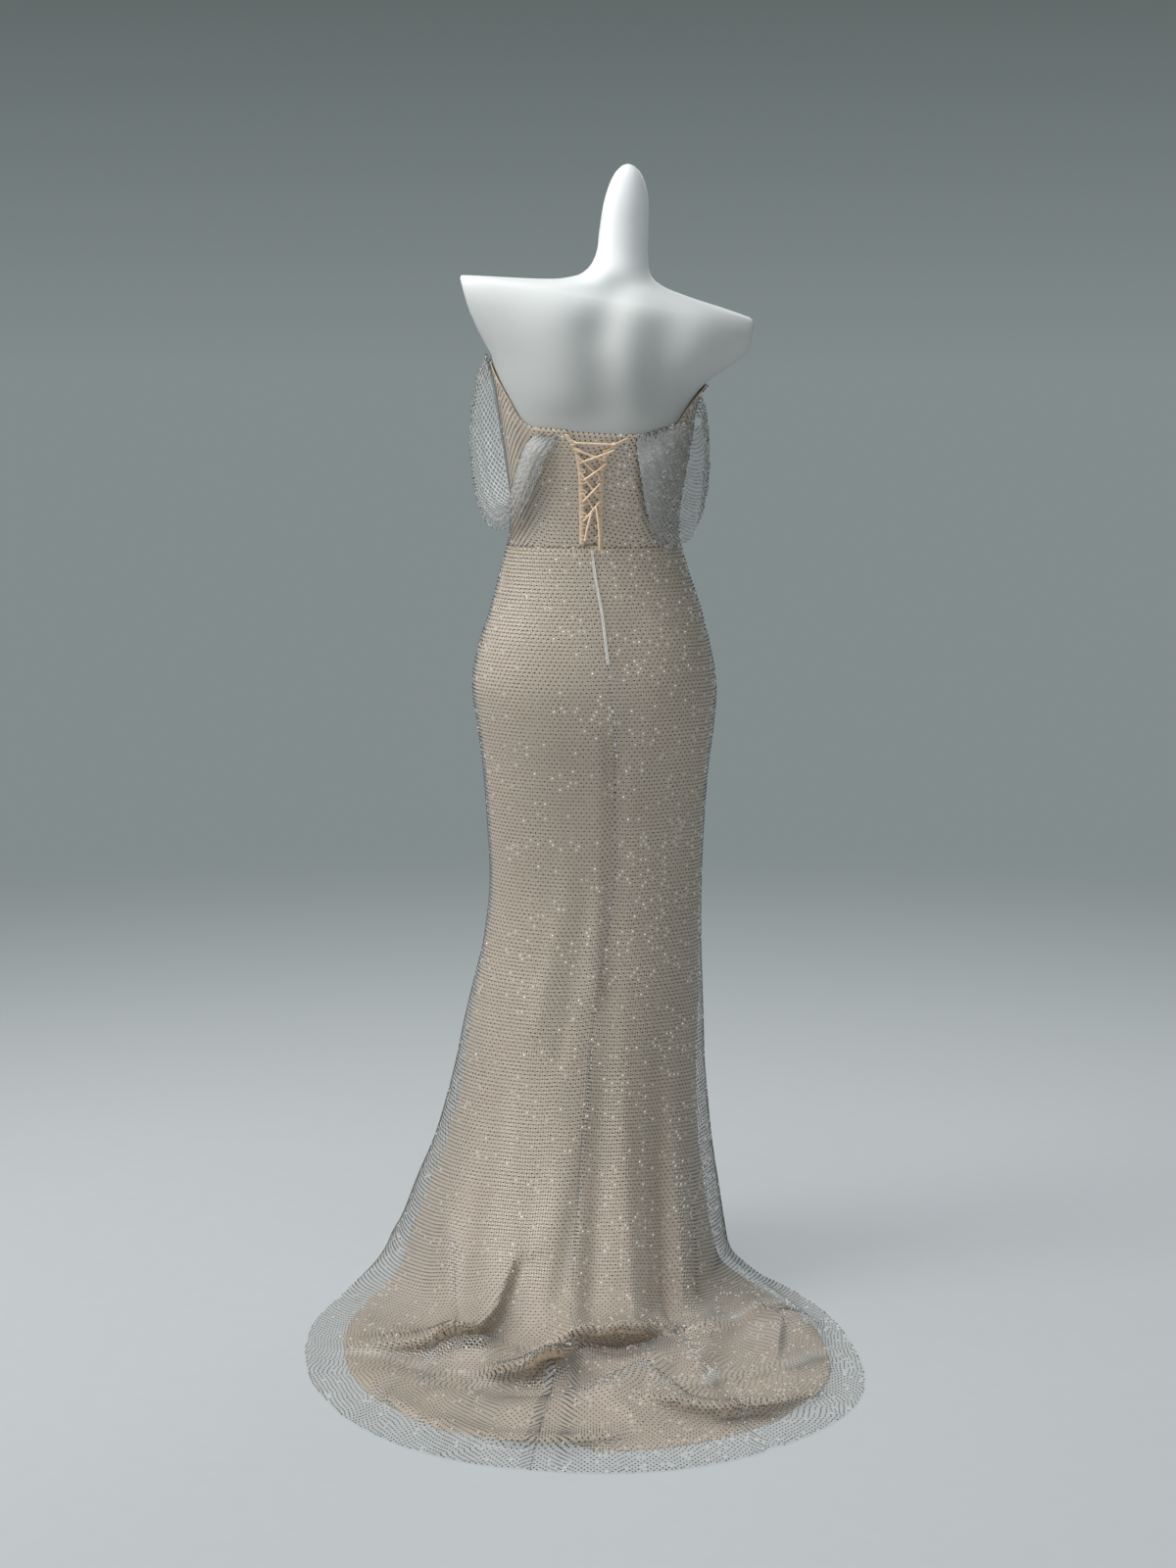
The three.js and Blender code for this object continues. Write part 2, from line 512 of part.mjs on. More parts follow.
// A closed solid from its places and faces, turned round if its faces point in.
function solidGeometry(positions, faces) {
  let volume = 0;
  const at = (i) => new THREE.Vector3(...positions.slice(3 * i, 3 * i + 3));
  for (let f = 0; f < faces.length; f += 3) {
    volume += at(faces[f]).dot(at(faces[f + 1]).cross(at(faces[f + 2])));
  }
  if (volume < 0) {
    for (let f = 0; f < faces.length; f += 3) {
      [faces[f + 1], faces[f + 2]] = [faces[f + 2], faces[f + 1]];
    }
  }
  const geometry = new THREE.BufferGeometry();
  geometry.setAttribute("position", new THREE.Float32BufferAttribute(positions, 3));
  geometry.setIndex(faces);
  geometry.computeVertexNormals();
  return geometry;
}

function piece(name, geometry, finish) {
  const mesh = new THREE.Mesh(geometry, new THREE.MeshStandardMaterial(COLOURS[finish]));
  mesh.name = name;
  return mesh;
}

// The angle round the form's back at which a place lies across it.
function angleAcross(rows, x, level) {
  const section = sectionAt(rows, level);
  const share = THREE.MathUtils.clamp((x - section.x) / section.half, -1, 1);
  return Math.acos(signedPower(share, section.square / 2));
}

// Half of a seam's gap as an angle, on a section of about this radius.
const SEAM_ANGLE = SEAM_GAP / 2 / 110;

const bodiceSeams = () => {
  const side = BODICE_SIDE_ANGLE * RADIANS;
  return {
    left: side,
    right: Math.PI - side,
  };
};

// The bodice's panels: each row runs between the waist and the top edge.
function bodicePanels(layer, finish, out, wall) {
  const { columns, rows } = BODICE_SIZES;
  const seams = bodiceSeams();
  const wrap = (angle) => {
    const degrees = angle / RADIANS;
    return degrees > 180 ? degrees - 360 : degrees;
  };
  const top = (angle) => valueAt(TOP_EDGE, "angle", "level", wrap(angle));
  const low = WAIST + SEAM_GAP;
  const panel = (name, from, to, count) => {
    const place = (i, j, outer) => {
      const share = i / count;
      let level = low;
      let angle = 0;
      for (let turn = 0; turn < 4; turn += 1) {
        angle = THREE.MathUtils.lerp(from(level), to(level), share);
        level = THREE.MathUtils.lerp(low, top(angle), j / rows);
      }
      return movedOut(formSurface, angle, level, outer ? out : out - wall);
    };
    return piece(name, wallGeometry(count, rows, place), finish);
  };
  const edge = (column) => (level) => angleAcross(FORM, valueAt(PLACKET, "level", column, level), level);
  const frontFrom = () => seams.right + SEAM_ANGLE - 2 * Math.PI;
  return [
    panel(`${layer}_front`, frontFrom, () => seams.left - SEAM_ANGLE, columns * 2),
    panel(`${layer}_back_left`, () => seams.left + SEAM_ANGLE, edge("left"), columns),
    panel(`${layer}_back_right`, edge("right"), () => seams.right - SEAM_ANGLE, columns),
  ];
}

// The modesty panel lies against the form, behind the placket.
function modestyPanel() {
  const columns = 6;
  const rows = 9;
  const place = (i, j, outer) => {
    const level = THREE.MathUtils.lerp(MODESTY.bottom, MODESTY.top, j / rows);
    const left = valueAt(PLACKET, "level", "left", level) + MODESTY.behind;
    const right = valueAt(PLACKET, "level", "right", level) - MODESTY.behind;
    const x = THREE.MathUtils.lerp(left, right, i / columns);
    const angle = angleAcross(FORM, x, level);
    return movedOut(formSurface, angle, level, outer ? MODESTY_OUT : MODESTY_OUT - LINING_WALL);
  };
  return piece("modesty_panel", wallGeometry(columns, rows, place), "net");
}

// The nude binding down one edge of the placket, on the net.
function placketBinding(name, column, side) {
  const rows = 12;
  const low = PLACKET_BOTTOM;
  const high = MODESTY.top - 3;
  const out = NET_OUT + SEAM_GAP + BINDING_WALL;
  const place = (i, j, outer) => {
    const level = THREE.MathUtils.lerp(low, high, j / rows);
    const edge = valueAt(PLACKET, "level", column, level) - side * 1.5;
    const x = edge + side * BINDING_WIDTH * i;
    return movedOut(formSurface, angleAcross(FORM, x, level), level, outer ? out : out - BINDING_WALL);
  };
  return piece(name, wallGeometry(1, rows, place), "trim");
}

// A stretch of the lacing's round cord over the back.
function laceSpan({ name, x1, z1, x2, z2, layer }) {
  const steps = 5;
  const base = NET_OUT + SEAM_GAP + BINDING_WALL + SEAM_GAP + LACE_DIAMETER / 2;
  const points = [];
  for (let i = 0; i <= steps; i += 1) {
    const t = i / steps;
    const level = THREE.MathUtils.lerp(z1, z2, t);
    const angle = angleAcross(FORM, THREE.MathUtils.lerp(x1, x2, t), level);
    points.push(movedOut(formSurface, angle, level, base + layer * (LACE_DIAMETER + LAYER_GAP)));
  }
  const section = new THREE.Shape();
  section.absarc(0, 0, LACE_DIAMETER / 2, 0, 2 * Math.PI, false);
  const geometry = new THREE.ExtrudeGeometry(section, {
    steps,
    curveSegments: LACE_SIDES / 2,
    bevelEnabled: false,
    extrudePath: new THREE.CatmullRomCurve3(points),
  });
  return piece(name, geometry, "trim");
}

// Where the lining's hem lies: a set length of cloth before the net's hem.
function liningEnd(angle) {
  let left = LINING_SHORTER;
  let down = 1;
  let point = skirtSurface(angle, down);
  while (left > 0 && down > 0.5) {
    down -= 0.004;
    const next = skirtSurface(angle, down);
    left -= next.distanceTo(point);
    point = next;
  }
  return down;
}

const backSeamAngle = (down) => {
  const level = down <= LANDING_SHARE ? THREE.MathUtils.lerp(WAIST, LANDING, down / LANDING_SHARE) : 0;
  return valueAt(BACK_SEAM, "level", "angle", level) * RADIANS;
};

// The skirt's three panels in one layer of cloth.
function skirtPanels(layer, finish, surface, out, wall, sizes, end) {
  const { frontColumns, backColumns, fallRows, trainRows } = sizes;
  const rowsDown = (floorRows) => (share, across, from, to) => {
    const rows = fallRows + floorRows;
    const row = share * rows;
    const angle = THREE.MathUtils.lerp(from, to, across);
    const last = end ? end(angle) : 1;
    const landing = Math.min(LANDING_SHARE, last - 0.01);
    if (row <= fallRows) return (landing * row) / fallRows;
    return THREE.MathUtils.lerp(landing, last, (row - fallRows) / floorRows);
  };
  const panel = (name, columns, floorRows, from, to) => {
    const rows = fallRows + floorRows;
    const place = (i, j, outer) => {
      let v = 0;
      let u = 0;
      for (let turn = 0; turn < 3; turn += 1) {
        v = rowsDown(floorRows)(j / rows, i / columns, from(v), to(v));
        u = THREE.MathUtils.lerp(from(v), to(v), i / columns);
      }
      const distance = out(u, v);
      return movedOut(surface, u, v, outer ? distance : distance - wall, -1);
    };
    return piece(name, wallGeometry(columns, rows, place), finish);
  };
  const left = BODICE_SIDE_ANGLE * RADIANS;
  const right = Math.PI - left;
  const gap = (v) => SEAM_GAP / (v > 0.5 ? 160 : 220);
  return [
    panel(`${layer}_front`, frontColumns, 2, () => right - 2 * Math.PI + SEAM_ANGLE, () => left - SEAM_ANGLE),
    panel(`${layer}_back_left`, backColumns, trainRows, () => left + SEAM_ANGLE,
      (v) => backSeamAngle(v) - gap(v)),
    panel(`${layer}_back_right`, backColumns, trainRows, (v) => backSeamAngle(v) + gap(v),
      () => right - SEAM_ANGLE),
  ];
}

// The lining has softer folds than the net.
const liningSurface = (angle, down) => skirtSurface(angle, down, LINING_LAYER);

// How far the lining hangs in from the net: close above the knee, freer at the sides below it,
// and never through the floor.
function liningInset(angle, down) {
  const fall = THREE.MathUtils.smoothstep(down, 0.34, 0.6);
  const landed = 1 - THREE.MathUtils.smoothstep(down, LANDING_SHARE - 0.02, LANDING_SHARE + 0.26);
  const side = Math.abs(Math.cos(angle)) ** 1.5;
  const standOff = THREE.MathUtils.lerp(BACK_STAND_OFF, SIDE_STAND_OFF, side);
  const close = THREE.MathUtils.smoothstep(down, 0, 0.1);
  const gap = THREE.MathUtils.lerp(WAIST_LAYER_GAP, HIP_LAYER_GAP, close) - (1 - landed);
  const room = liningSurface(angle, down).z - LINING_WALL - FLOOR_GAP;
  return -Math.min(NET_WALL + gap + standOff * fall * landed, room);
}

// The zip's closed tape down the top of the centre back seam, on the net's own rows.
function zip() {
  const rows = ZIP_ROWS;
  const place = (i, j, outer) => {
    const down = Math.max((LANDING_SHARE * j) / NET_SIZES.fallRows, ZIP_START);
    const angle = backSeamAngle(down) + ((i - 0.5) * ZIP_WIDTH) / 120;
    return movedOut(skirtSurface, angle, down, SEAM_GAP + (outer ? ZIP_WALL : 0), -1);
  };
  return piece("zip", wallGeometry(1, rows, place), "zip");
}

// A draped sleeve of net alone, gathered to the bodice at the front and back.
function sleeve(name, rows, side) {
  const surface = sleeveSurface(rows, side);
  const columns = 18;
  const across = 8;
  const place = (i, j, outer) => {
    const u = THREE.MathUtils.clamp(i / columns, 0.0005, 0.9995);
    const v = THREE.MathUtils.clamp(j / across, 0.0005, 0.9995);
    return movedOut(surface, u, v, (outer ? 0.5 : -0.5) * NET_WALL);
  };
  return piece(name, wallGeometry(columns, across, place), "net");
}

// The dress form: closed under the hips, over flat shoulder ends to a tall rounded neck.
function dressForm() {
  const around = 28;
  const levels = [];
  for (let i = 0; i < FORM.length - 1; i += 1) {
    const { level } = FORM[i];
    const step = FORM[i + 1].level - level;
    const dressed = level > FORM_WORN.low && level < FORM_WORN.high;
    const parts = Math.ceil(step / (dressed ? FORM_WORN.step : step));
    for (let k = 0; k < parts; k += 1) levels.push(level + (step * k) / parts);
  }
  levels.push(FORM[FORM.length - 1].level);
  const positions = [];
  const faces = [];
  for (const level of levels) {
    for (let i = 0; i < around; i += 1) {
      positions.push(...formSurface((2 * Math.PI * i) / around, level).toArray());
    }
  }
  const crown = sectionAt(FORM, FORM[FORM.length - 1].level);
  const bottom = positions.length / 3;
  positions.push(FORM[0].x, 0, FORM_BOTTOM, crown.x, crown.y, FORM_CROWN);
  for (let j = 0; j < levels.length - 1; j += 1) {
    for (let i = 0; i < around; i += 1) {
      const a = j * around + i;
      const b = j * around + ((i + 1) % around);
      faces.push(a, b, b + around, a, b + around, a + around);
    }
  }
  const last = (levels.length - 1) * around;
  for (let i = 0; i < around; i += 1) {
    const next = (i + 1) % around;
    faces.push(bottom, next, i, bottom + 1, last + i, last + next);
  }
  return piece("dress_form", solidGeometry(positions, faces), "form");
}

function turned(name, profile, segments, finish) {
  const points = profile.map(([radius, z]) => new THREE.Vector2(radius, z));
  const geometry = new THREE.LatheGeometry(points, segments);
  geometry.rotateX(Math.PI / 2);
  return piece(name, geometry, finish);
}

// The stand: a round base plate and the pole that carries the form.
function stand() {
  const top = FORM_BOTTOM - SEAM_GAP;
  const base = turned("stand_base", [
    [0, 0],
    [BASE_RADIUS, 0],
    [BASE_RADIUS, BASE_HEIGHT - BASE_BEVEL],
    [BASE_RADIUS - BASE_BEVEL, BASE_HEIGHT],
    [0, BASE_HEIGHT],
  ], 40, "stand");
  const pole = turned("stand_pole", [
    [0, BASE_HEIGHT + SEAM_GAP],
    [POLE_RADIUS, BASE_HEIGHT + SEAM_GAP],
    [POLE_RADIUS, top],
    [0, top],
  ], 16, "stand");
  return [base, pole];
}

const gown = new THREE.Group();
gown.add(
  dressForm(),
  ...stand(),
  modestyPanel(),
  ...bodicePanels("bodice_lining", "lining", LINING_OUT, LINING_WALL),
  ...bodicePanels("bodice", "net", NET_OUT, NET_WALL),
  ...skirtPanels("skirt_lining", "lining", liningSurface, liningInset, LINING_WALL, LINING_SIZES, liningEnd),
  ...skirtPanels("skirt", "net", skirtSurface, () => 0, NET_WALL, NET_SIZES),
  sleeve("sleeve_left", SLEEVE_LEFT, 1),
  sleeve("sleeve_right", SLEEVE_RIGHT, -1),
  placketBinding("placket_binding_left", "left", 1),
  placketBinding("placket_binding_right", "right", -1),
  ...LACE_SPANS.map(laceSpan),
  zip(),
);

export default gown;
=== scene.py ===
# An evening gown of beaded net over a nude satin lining, worn by a limbless dress form.
# Tables are in millimetres and are made metres as each mesh is placed. +Z is up, the laced
# back and the train face +Y, and +X is the wearer's left.
import math

import bpy
import numpy as np
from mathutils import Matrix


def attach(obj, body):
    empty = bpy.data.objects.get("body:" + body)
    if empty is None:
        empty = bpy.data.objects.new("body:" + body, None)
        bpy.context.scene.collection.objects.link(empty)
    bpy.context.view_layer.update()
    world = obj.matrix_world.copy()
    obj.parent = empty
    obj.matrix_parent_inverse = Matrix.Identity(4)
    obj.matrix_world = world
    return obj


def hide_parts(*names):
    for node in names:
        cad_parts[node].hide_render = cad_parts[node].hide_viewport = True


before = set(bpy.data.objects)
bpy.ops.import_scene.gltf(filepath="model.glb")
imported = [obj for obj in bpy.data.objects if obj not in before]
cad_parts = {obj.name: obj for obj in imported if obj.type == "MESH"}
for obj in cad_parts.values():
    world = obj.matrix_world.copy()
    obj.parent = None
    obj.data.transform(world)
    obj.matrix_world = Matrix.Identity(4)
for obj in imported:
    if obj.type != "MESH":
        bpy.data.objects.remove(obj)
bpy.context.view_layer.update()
MM = 0.001

# Camera
# The viewpoint is behind the gown, a little over waist height and 4 m away, tipped down
# until the whole train is in view.
CAMERA_PLACE = (0.011, 4.0, 1.293)
CAMERA_PITCH = math.radians(8.3)
CAMERA_LENS = 64.76

bpy.ops.object.select_all(action="DESELECT")
bpy.ops.object.camera_add(location=CAMERA_PLACE, rotation=(math.pi / 2 - CAMERA_PITCH, 0, math.pi))
camera = bpy.context.object
camera.data.lens = CAMERA_LENS
camera.data.sensor_width = 36
bpy.context.scene.camera = camera

# Free ends of the lacing
# The nude round cord comes out of the lowest crossing as two short free ends, knotted off
# by heat at their tips, that hang over the placket's bottom.
CORD_WIDTH = 3.2
TAILS = [
    ("lacing_tail_left",
     [(6, 92.4, 1103), (8, 93.2, 1095), (11, 93.6, 1084), (13.5, 93.2, 1073), (15, 92.2, 1062)]),
    ("lacing_tail_right",
     [(0, 92.6, 1111), (-1.4, 93.6, 1101), (-3.4, 94.2, 1086), (-4.8, 93.6, 1068), (-5, 92.2, 1050)]),
]


class Wire:
    """A socket of a finish, so that sums are written as plain Python."""

    def __init__(self, finish, socket):
        self.finish = finish
        self.socket = socket

    def sum(self, operation, *values):
        return self.finish.node("ShaderNodeMath", {"operation": operation}, dict(enumerate(values)))

    def __add__(self, other):
        return self.sum("ADD", self, other)

    __radd__ = __add__

    def __sub__(self, other):
        return self.sum("SUBTRACT", self, other)

    def __rsub__(self, other):
        return self.sum("SUBTRACT", other, self)

    def __mul__(self, other):
        return self.sum("MULTIPLY", self, other)

    __rmul__ = __mul__


class Finish:
    """A material with one Principled shader; fixed numbers are set on the shader itself."""

    def __init__(self, name, **fixed):
        self.material = bpy.data.materials.new(name)
        self.material.use_nodes = True
        self.tree = self.material.node_tree
        self.shader = self.tree.nodes["Principled BSDF"]
        for socket, value in fixed.items():
            self.shader.inputs[socket.replace("_", " ")].default_value = value

    def node(self, kind, settings, values, out=0):
        made = self.tree.nodes.new(kind)
        for setting, value in settings.items():
            setattr(made, setting, value)
        for socket, value in values.items():
            if isinstance(value, Wire):
                self.tree.links.new(value.socket, made.inputs[socket])
            else:
                made.inputs[socket].default_value = value
        return Wire(self, made.outputs[out])

    def place(self, kind="Object"):
        return self.node("ShaderNodeTexCoord", {}, {}, kind)

    def noise(self, scale, detail, at=None, stretch=None):
        at = at or self.place()
        if stretch:
            at = self.node("ShaderNodeVectorMath", {"operation": "MULTIPLY"}, {0: at, 1: stretch})
        return self.node("ShaderNodeTexNoise", {}, {"Vector": at, "Scale": scale, "Detail": detail}, "Fac")

    def ramp(self, value, low, high, to_low, to_high):
        return self.node("ShaderNodeMapRange", {"clamp": True}, {
            "Value": value, "From Min": low, "From Max": high, "To Min": to_low, "To Max": to_high})

    def mix(self, share, first, second):
        return self.node("ShaderNodeMix", {"data_type": "RGBA"}, {0: share, 6: first, 7: second}, 2)

    def bump(self, height, distance, strength=1.0):
        return self.node("ShaderNodeBump", {}, {"Height": height, "Distance": distance, "Strength": strength})

    def feed(self, **wires):
        for socket, wire in wires.items():
            self.tree.links.new(wire.socket, self.shader.inputs[socket.replace("_", " ")])


def satin(name, light, dark, roughness):
    """Closely woven satin: fine threads both ways along the cloth, and a slow change of tone."""
    made = Finish(name, Sheen_Weight=0.2, Sheen_Roughness=0.5, Specular_IOR_Level=0.2)
    cloth = made.place("UV")
    threads = made.noise(2600, 2, cloth, stretch=(1, 0.08, 1))
    weft = made.noise(2200, 2, cloth, stretch=(0.06, 1, 1))
    slow = made.noise(9, 3)
    tone = made.ramp(0.5 * slow + 0.3 * threads + 0.2 * weft, 0.3, 0.7, 0, 1)
    made.feed(
        Base_Color=made.mix(tone, dark, light),
        Roughness=made.ramp(threads, 0.3, 0.7, roughness - 0.06, roughness + 0.08),
        Normal=made.bump(0.6 * threads + 0.4 * weft, 0.00012, 0.6),
    )
    return made.material


def twisted_cord(name, light, dark):
    """Round cord of nude satin: slanting twist lines and fine threads."""
    made = Finish(name, Sheen_Weight=0.3, Sheen_Roughness=0.4)
    twist = made.node("ShaderNodeTexWave", {"bands_direction": "DIAGONAL"}, {
        "Vector": made.place(), "Scale": 210, "Distortion": 1.2, "Detail": 2}, "Fac")
    threads = made.noise(1500, 2)
    made.feed(
        Base_Color=made.mix(0.65 * twist + 0.35 * threads, dark, light),
        Roughness=made.ramp(threads, 0.3, 0.7, 0.42, 0.6),
        Normal=made.bump(twist, 0.0002, 0.5),
    )
    return made.material


CORD_LIGHT = (0.86, 0.66, 0.47, 1)
CORD_DARK = (0.70, 0.50, 0.34, 1)
cord_finish = twisted_cord("nude_cord", CORD_LIGHT, CORD_DARK)


def round_cord(name, routes, width):
    """A curve through one or more routes in millimetres, with a round section."""
    bpy.ops.object.select_all(action="DESELECT")
    data = bpy.data.curves.new(name, "CURVE")
    data.dimensions = "3D"
    data.bevel_depth = width / 2 * MM
    data.bevel_resolution = 3
    data.resolution_u = 6
    data.use_fill_caps = True
    for points in routes:
        spline = data.splines.new("BEZIER")
        spline.bezier_points.add(len(points) - 1)
        for knot, point in zip(spline.bezier_points, points):
            knot.co = [c * MM for c in point]
            knot.handle_left_type = "AUTO"
            knot.handle_right_type = "AUTO"
    made = bpy.data.objects.new(name, data)
    bpy.context.collection.objects.link(made)
    data.materials.append(cord_finish)
    return made


for node, route in TAILS:
    tail = round_cord(node + "_cord", [route], CORD_WIDTH)
    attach(tail, "root")
    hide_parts(node)

# Stand
# A round steel base plate and its pole, painted pale grey; the skirt hides both, so they
# keep the plain solids and get a satin paint with a faint orange-peel.
stand_paint = Finish("stand_paint", Specular_IOR_Level=0.5)
peel = stand_paint.noise(420, 2)
wear = stand_paint.noise(14, 4)
stand_paint.feed(
    Base_Color=stand_paint.mix(wear, (0.56, 0.58, 0.58, 1), (0.66, 0.67, 0.67, 1)),
    Roughness=stand_paint.ramp(wear, 0.3, 0.7, 0.32, 0.46),
    Normal=stand_paint.bump(peel, 0.0002, 0.3),
)
for node in ("stand_base", "stand_pole"):
    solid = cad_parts[node]
    solid.data.materials.clear()
    solid.data.materials.append(stand_paint.material)

# Dress form
# A smooth glass-fibre torso without limbs, sprayed satin white, with a tall rounded neck,
# flat sloping arm ends, soft shoulder blades and a shallow line down its spine.
FORM = {
    "level": [770, 795, 855, 905, 960, 1015, 1058, 1105, 1155, 1210, 1260, 1295, 1320, 1345, 1370, 1388,
              1397, 1403, 1409, 1416, 1428, 1453, 1490, 1525, 1553, 1569, 1577],
    "x": [2, 2, 2, 2, 1, 2, 2, 1, -1, -1, 0, -1, -5, -10, -13, -14,
          -15, -18, -19, -23.5, -29.5, -36, -39, -42, -44, -44.5, -44.5],
    "y": [0, 0, 0, 0, 0, 0, 0, 0, 0, 0, 0, 2, 4, 6, 8, 9,
          10, 10, 9, 8, 6, 2, -2, -4, -5, -5, -5],
    "half": [147, 158, 165, 157, 142, 127, 116, 114, 120, 129, 137, 150, 173, 198, 218, 220,
             206, 166, 119, 75.5, 48.5, 37, 34, 31.5, 25, 17, 9],
    "front": [95, 102, 105, 102, 97, 90, 86, 90, 103, 116, 108, 96, 88, 80, 70, 60,
              54, 50, 47, 44, 41, 36, 33, 31, 25, 17, 9],
    "back": [97, 109, 112, 104, 90, 79, 76, 77, 82, 87, 90, 88, 84, 78, 70, 60,
             52, 48, 46, 44, 42, 36, 33, 31, 25, 17, 9],
    "square": [2.2, 2.2, 2.2, 2.2, 2.15, 2.1, 2.1, 2.15, 2.2, 2.25, 2.2, 2.05, 2, 2, 2, 2,
               2, 2, 2, 2, 2, 2, 2, 2, 2, 2, 2],
    "tip": [0, 0, 0, 0, 0, 0, 0, 1, 2.5, 4, 6, 8, 8.8, 8.8, 8.8, 8.8,
            8.4, 7.8, 6.8, 5, 3, 1, 0, 0, 0, 0, 0],
}
FORM_BOTTOM = 770
FORM_CROWN = 1580
ARM_LEVEL = 1296
ARM_BOW_LENGTH = 110
# Arm ends: side, how far out and how high each one's top lies, its lean and its bow.
ARM_ENDS = [(1, 188, 1421, 0.42, 6), (-1, -219, 1354, 0.3, 5)]
# Relief of the back: both ends of a line (across, up), its width and how far it stands out.
FORM_RELIEF = [
    ((-30, 1400), (-4, 1345), 24, -4),
    ((-4, 1345), (-12, 1225), 30, -7),
    ((58, 1352), (40, 1265), 46, 7),
    ((-48, 1368), (-44, 1290), 30, 5),
    ((-96, 1340), (-92, 1240), 30, -7),
    ((-150, 1365), (-134, 1310), 34, 3),
]


def value_at(table, key, column, place):
    """A smooth value between a table's rows, whose key column runs one way."""
    keys = np.array(table[key], float)
    values = np.array(table[column], float)
    if keys[0] > keys[-1]:
        keys, values = keys[::-1], values[::-1]
    place = np.clip(place, keys[0], keys[-1])
    i = np.clip(np.searchsorted(keys, place, side="right") - 1, 0, len(keys) - 2)
    before = np.maximum(i - 1, 0)
    after = np.minimum(i + 2, len(keys) - 1)
    span = keys[i + 1] - keys[i]
    t = (place - keys[i]) / span
    slope_a = (values[i + 1] - values[before]) / (keys[i + 1] - keys[before])
    slope_b = (values[after] - values[i]) / (keys[after] - keys[i])
    ends = (1 + 2 * t) * (1 - t) ** 2 * values[i] + t * t * (3 - 2 * t) * values[i + 1]
    return ends + span * (t * (1 - t) ** 2 * slope_a - t * t * (1 - t) * slope_b)


def smooth_step(value, low, high):
    t = np.clip((value - low) / (high - low), 0, 1)
    return t * t * (3 - 2 * t)


def signed_power(value, power):
    return np.sign(value) * np.abs(value) ** power


def round_section(table, angle, level):
    """How far across and how deep a rounded section's edge lies at an angle round it."""
    power = 2 / value_at(table, "level", "square", level)
    deep = np.where(np.sin(angle) > 0, value_at(table, "level", "back", level),
                    value_at(table, "level", "front", level))
    across = value_at(table, "level", "half", level) * signed_power(np.cos(angle), power)
    return across, deep * signed_power(np.sin(angle), power)


def fold_at(px, py, start, end, width, first, last):
    """How far a soft fold along a line stands out at a place."""
    (ax, ay), (bx, by) = start, end
    along = ((px - ax) * (bx - ax) + (py - ay) * (by - ay)) / ((bx - ax) ** 2 + (by - ay) ** 2)
    t = np.clip(along, 0, 1)
    distance = np.hypot(px - ax - t * (bx - ax), py - ay - t * (by - ay))
    grown = 0.5 * t + 0.5 * t * t * (3 - 2 * t)
    return (first + (last - first) * grown) * np.exp(-((distance / width) ** 2))


def form_surface(angle, level):
    angle, level = np.broadcast_arrays(angle, level)
    across, deep = round_section(FORM, angle, level)
    tip = np.radians(value_at(FORM, "level", "tip", level))
    z = level + across * np.sin(tip)
    x = value_at(FORM, "level", "x", level) + across * np.cos(tip)
    for side, end_x, end_z, lean, bow in ARM_ENDS:
        drop = np.maximum(end_z - z, 0)
        limit = end_x + side * (bow * np.sin(math.pi * np.minimum(drop / ARM_BOW_LENGTH, 1)) - lean * drop)
        x = np.where((level > ARM_LEVEL) & (side * (x - limit) > 0), limit, x)
    return np.stack([x, value_at(FORM, "level", "y", level) + deep, z], axis=-1)


def grid_mesh(name, places, finish, closed=False):
    """A grid shaped to rows and columns of places in millimetres, with UVs in metres of cloth."""
    rows, columns = places.shape[:2]
    bpy.ops.object.select_all(action="DESELECT")
    bpy.ops.mesh.primitive_grid_add(x_subdivisions=columns - 1, y_subdivisions=rows - 1, size=2)
    made = bpy.context.object
    made.name = name
    mesh = made.data
    plain = np.empty(len(mesh.vertices) * 3)
    mesh.vertices.foreach_get("co", plain)
    plain = plain.reshape(-1, 3)
    column = np.rint((plain[:, 0] + 1) / 2 * (columns - 1)).astype(int)
    row = np.rint((1 - plain[:, 1]) / 2 * (rows - 1)).astype(int)
    mesh.vertices.foreach_set("co", (places[row, column] * MM).ravel())
    down = np.linalg.norm(np.diff(places, axis=0), axis=2)
    over = np.linalg.norm(np.diff(places, axis=1), axis=2)
    v = np.vstack([np.zeros(columns), np.cumsum(down, axis=0)])
    u = np.hstack([np.zeros((rows, 1)), np.cumsum(over, axis=1)])
    u = u - u[:, [columns // 2]]
    loops = np.empty(len(mesh.loops), int)
    mesh.loops.foreach_get("vertex_index", loops)
    cloth = np.stack([u[row, column], -v[row, column]], axis=1) * MM
    mesh.uv_layers[0].data.foreach_set("uv", cloth[loops].ravel())
    mesh.update()
    if closed:
        bpy.ops.object.mode_set(mode="EDIT")
        bpy.ops.mesh.select_all(action="SELECT")
        bpy.ops.mesh.remove_doubles(threshold=0.00002)
        bpy.ops.mesh.normals_make_consistent(inside=False)
        bpy.ops.object.mode_set(mode="OBJECT")
    bpy.ops.object.shade_smooth()
    mesh.materials.append(finish)
    bpy.ops.object.transform_apply(location=True, rotation=True, scale=True)
    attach(made, "root")
    return made


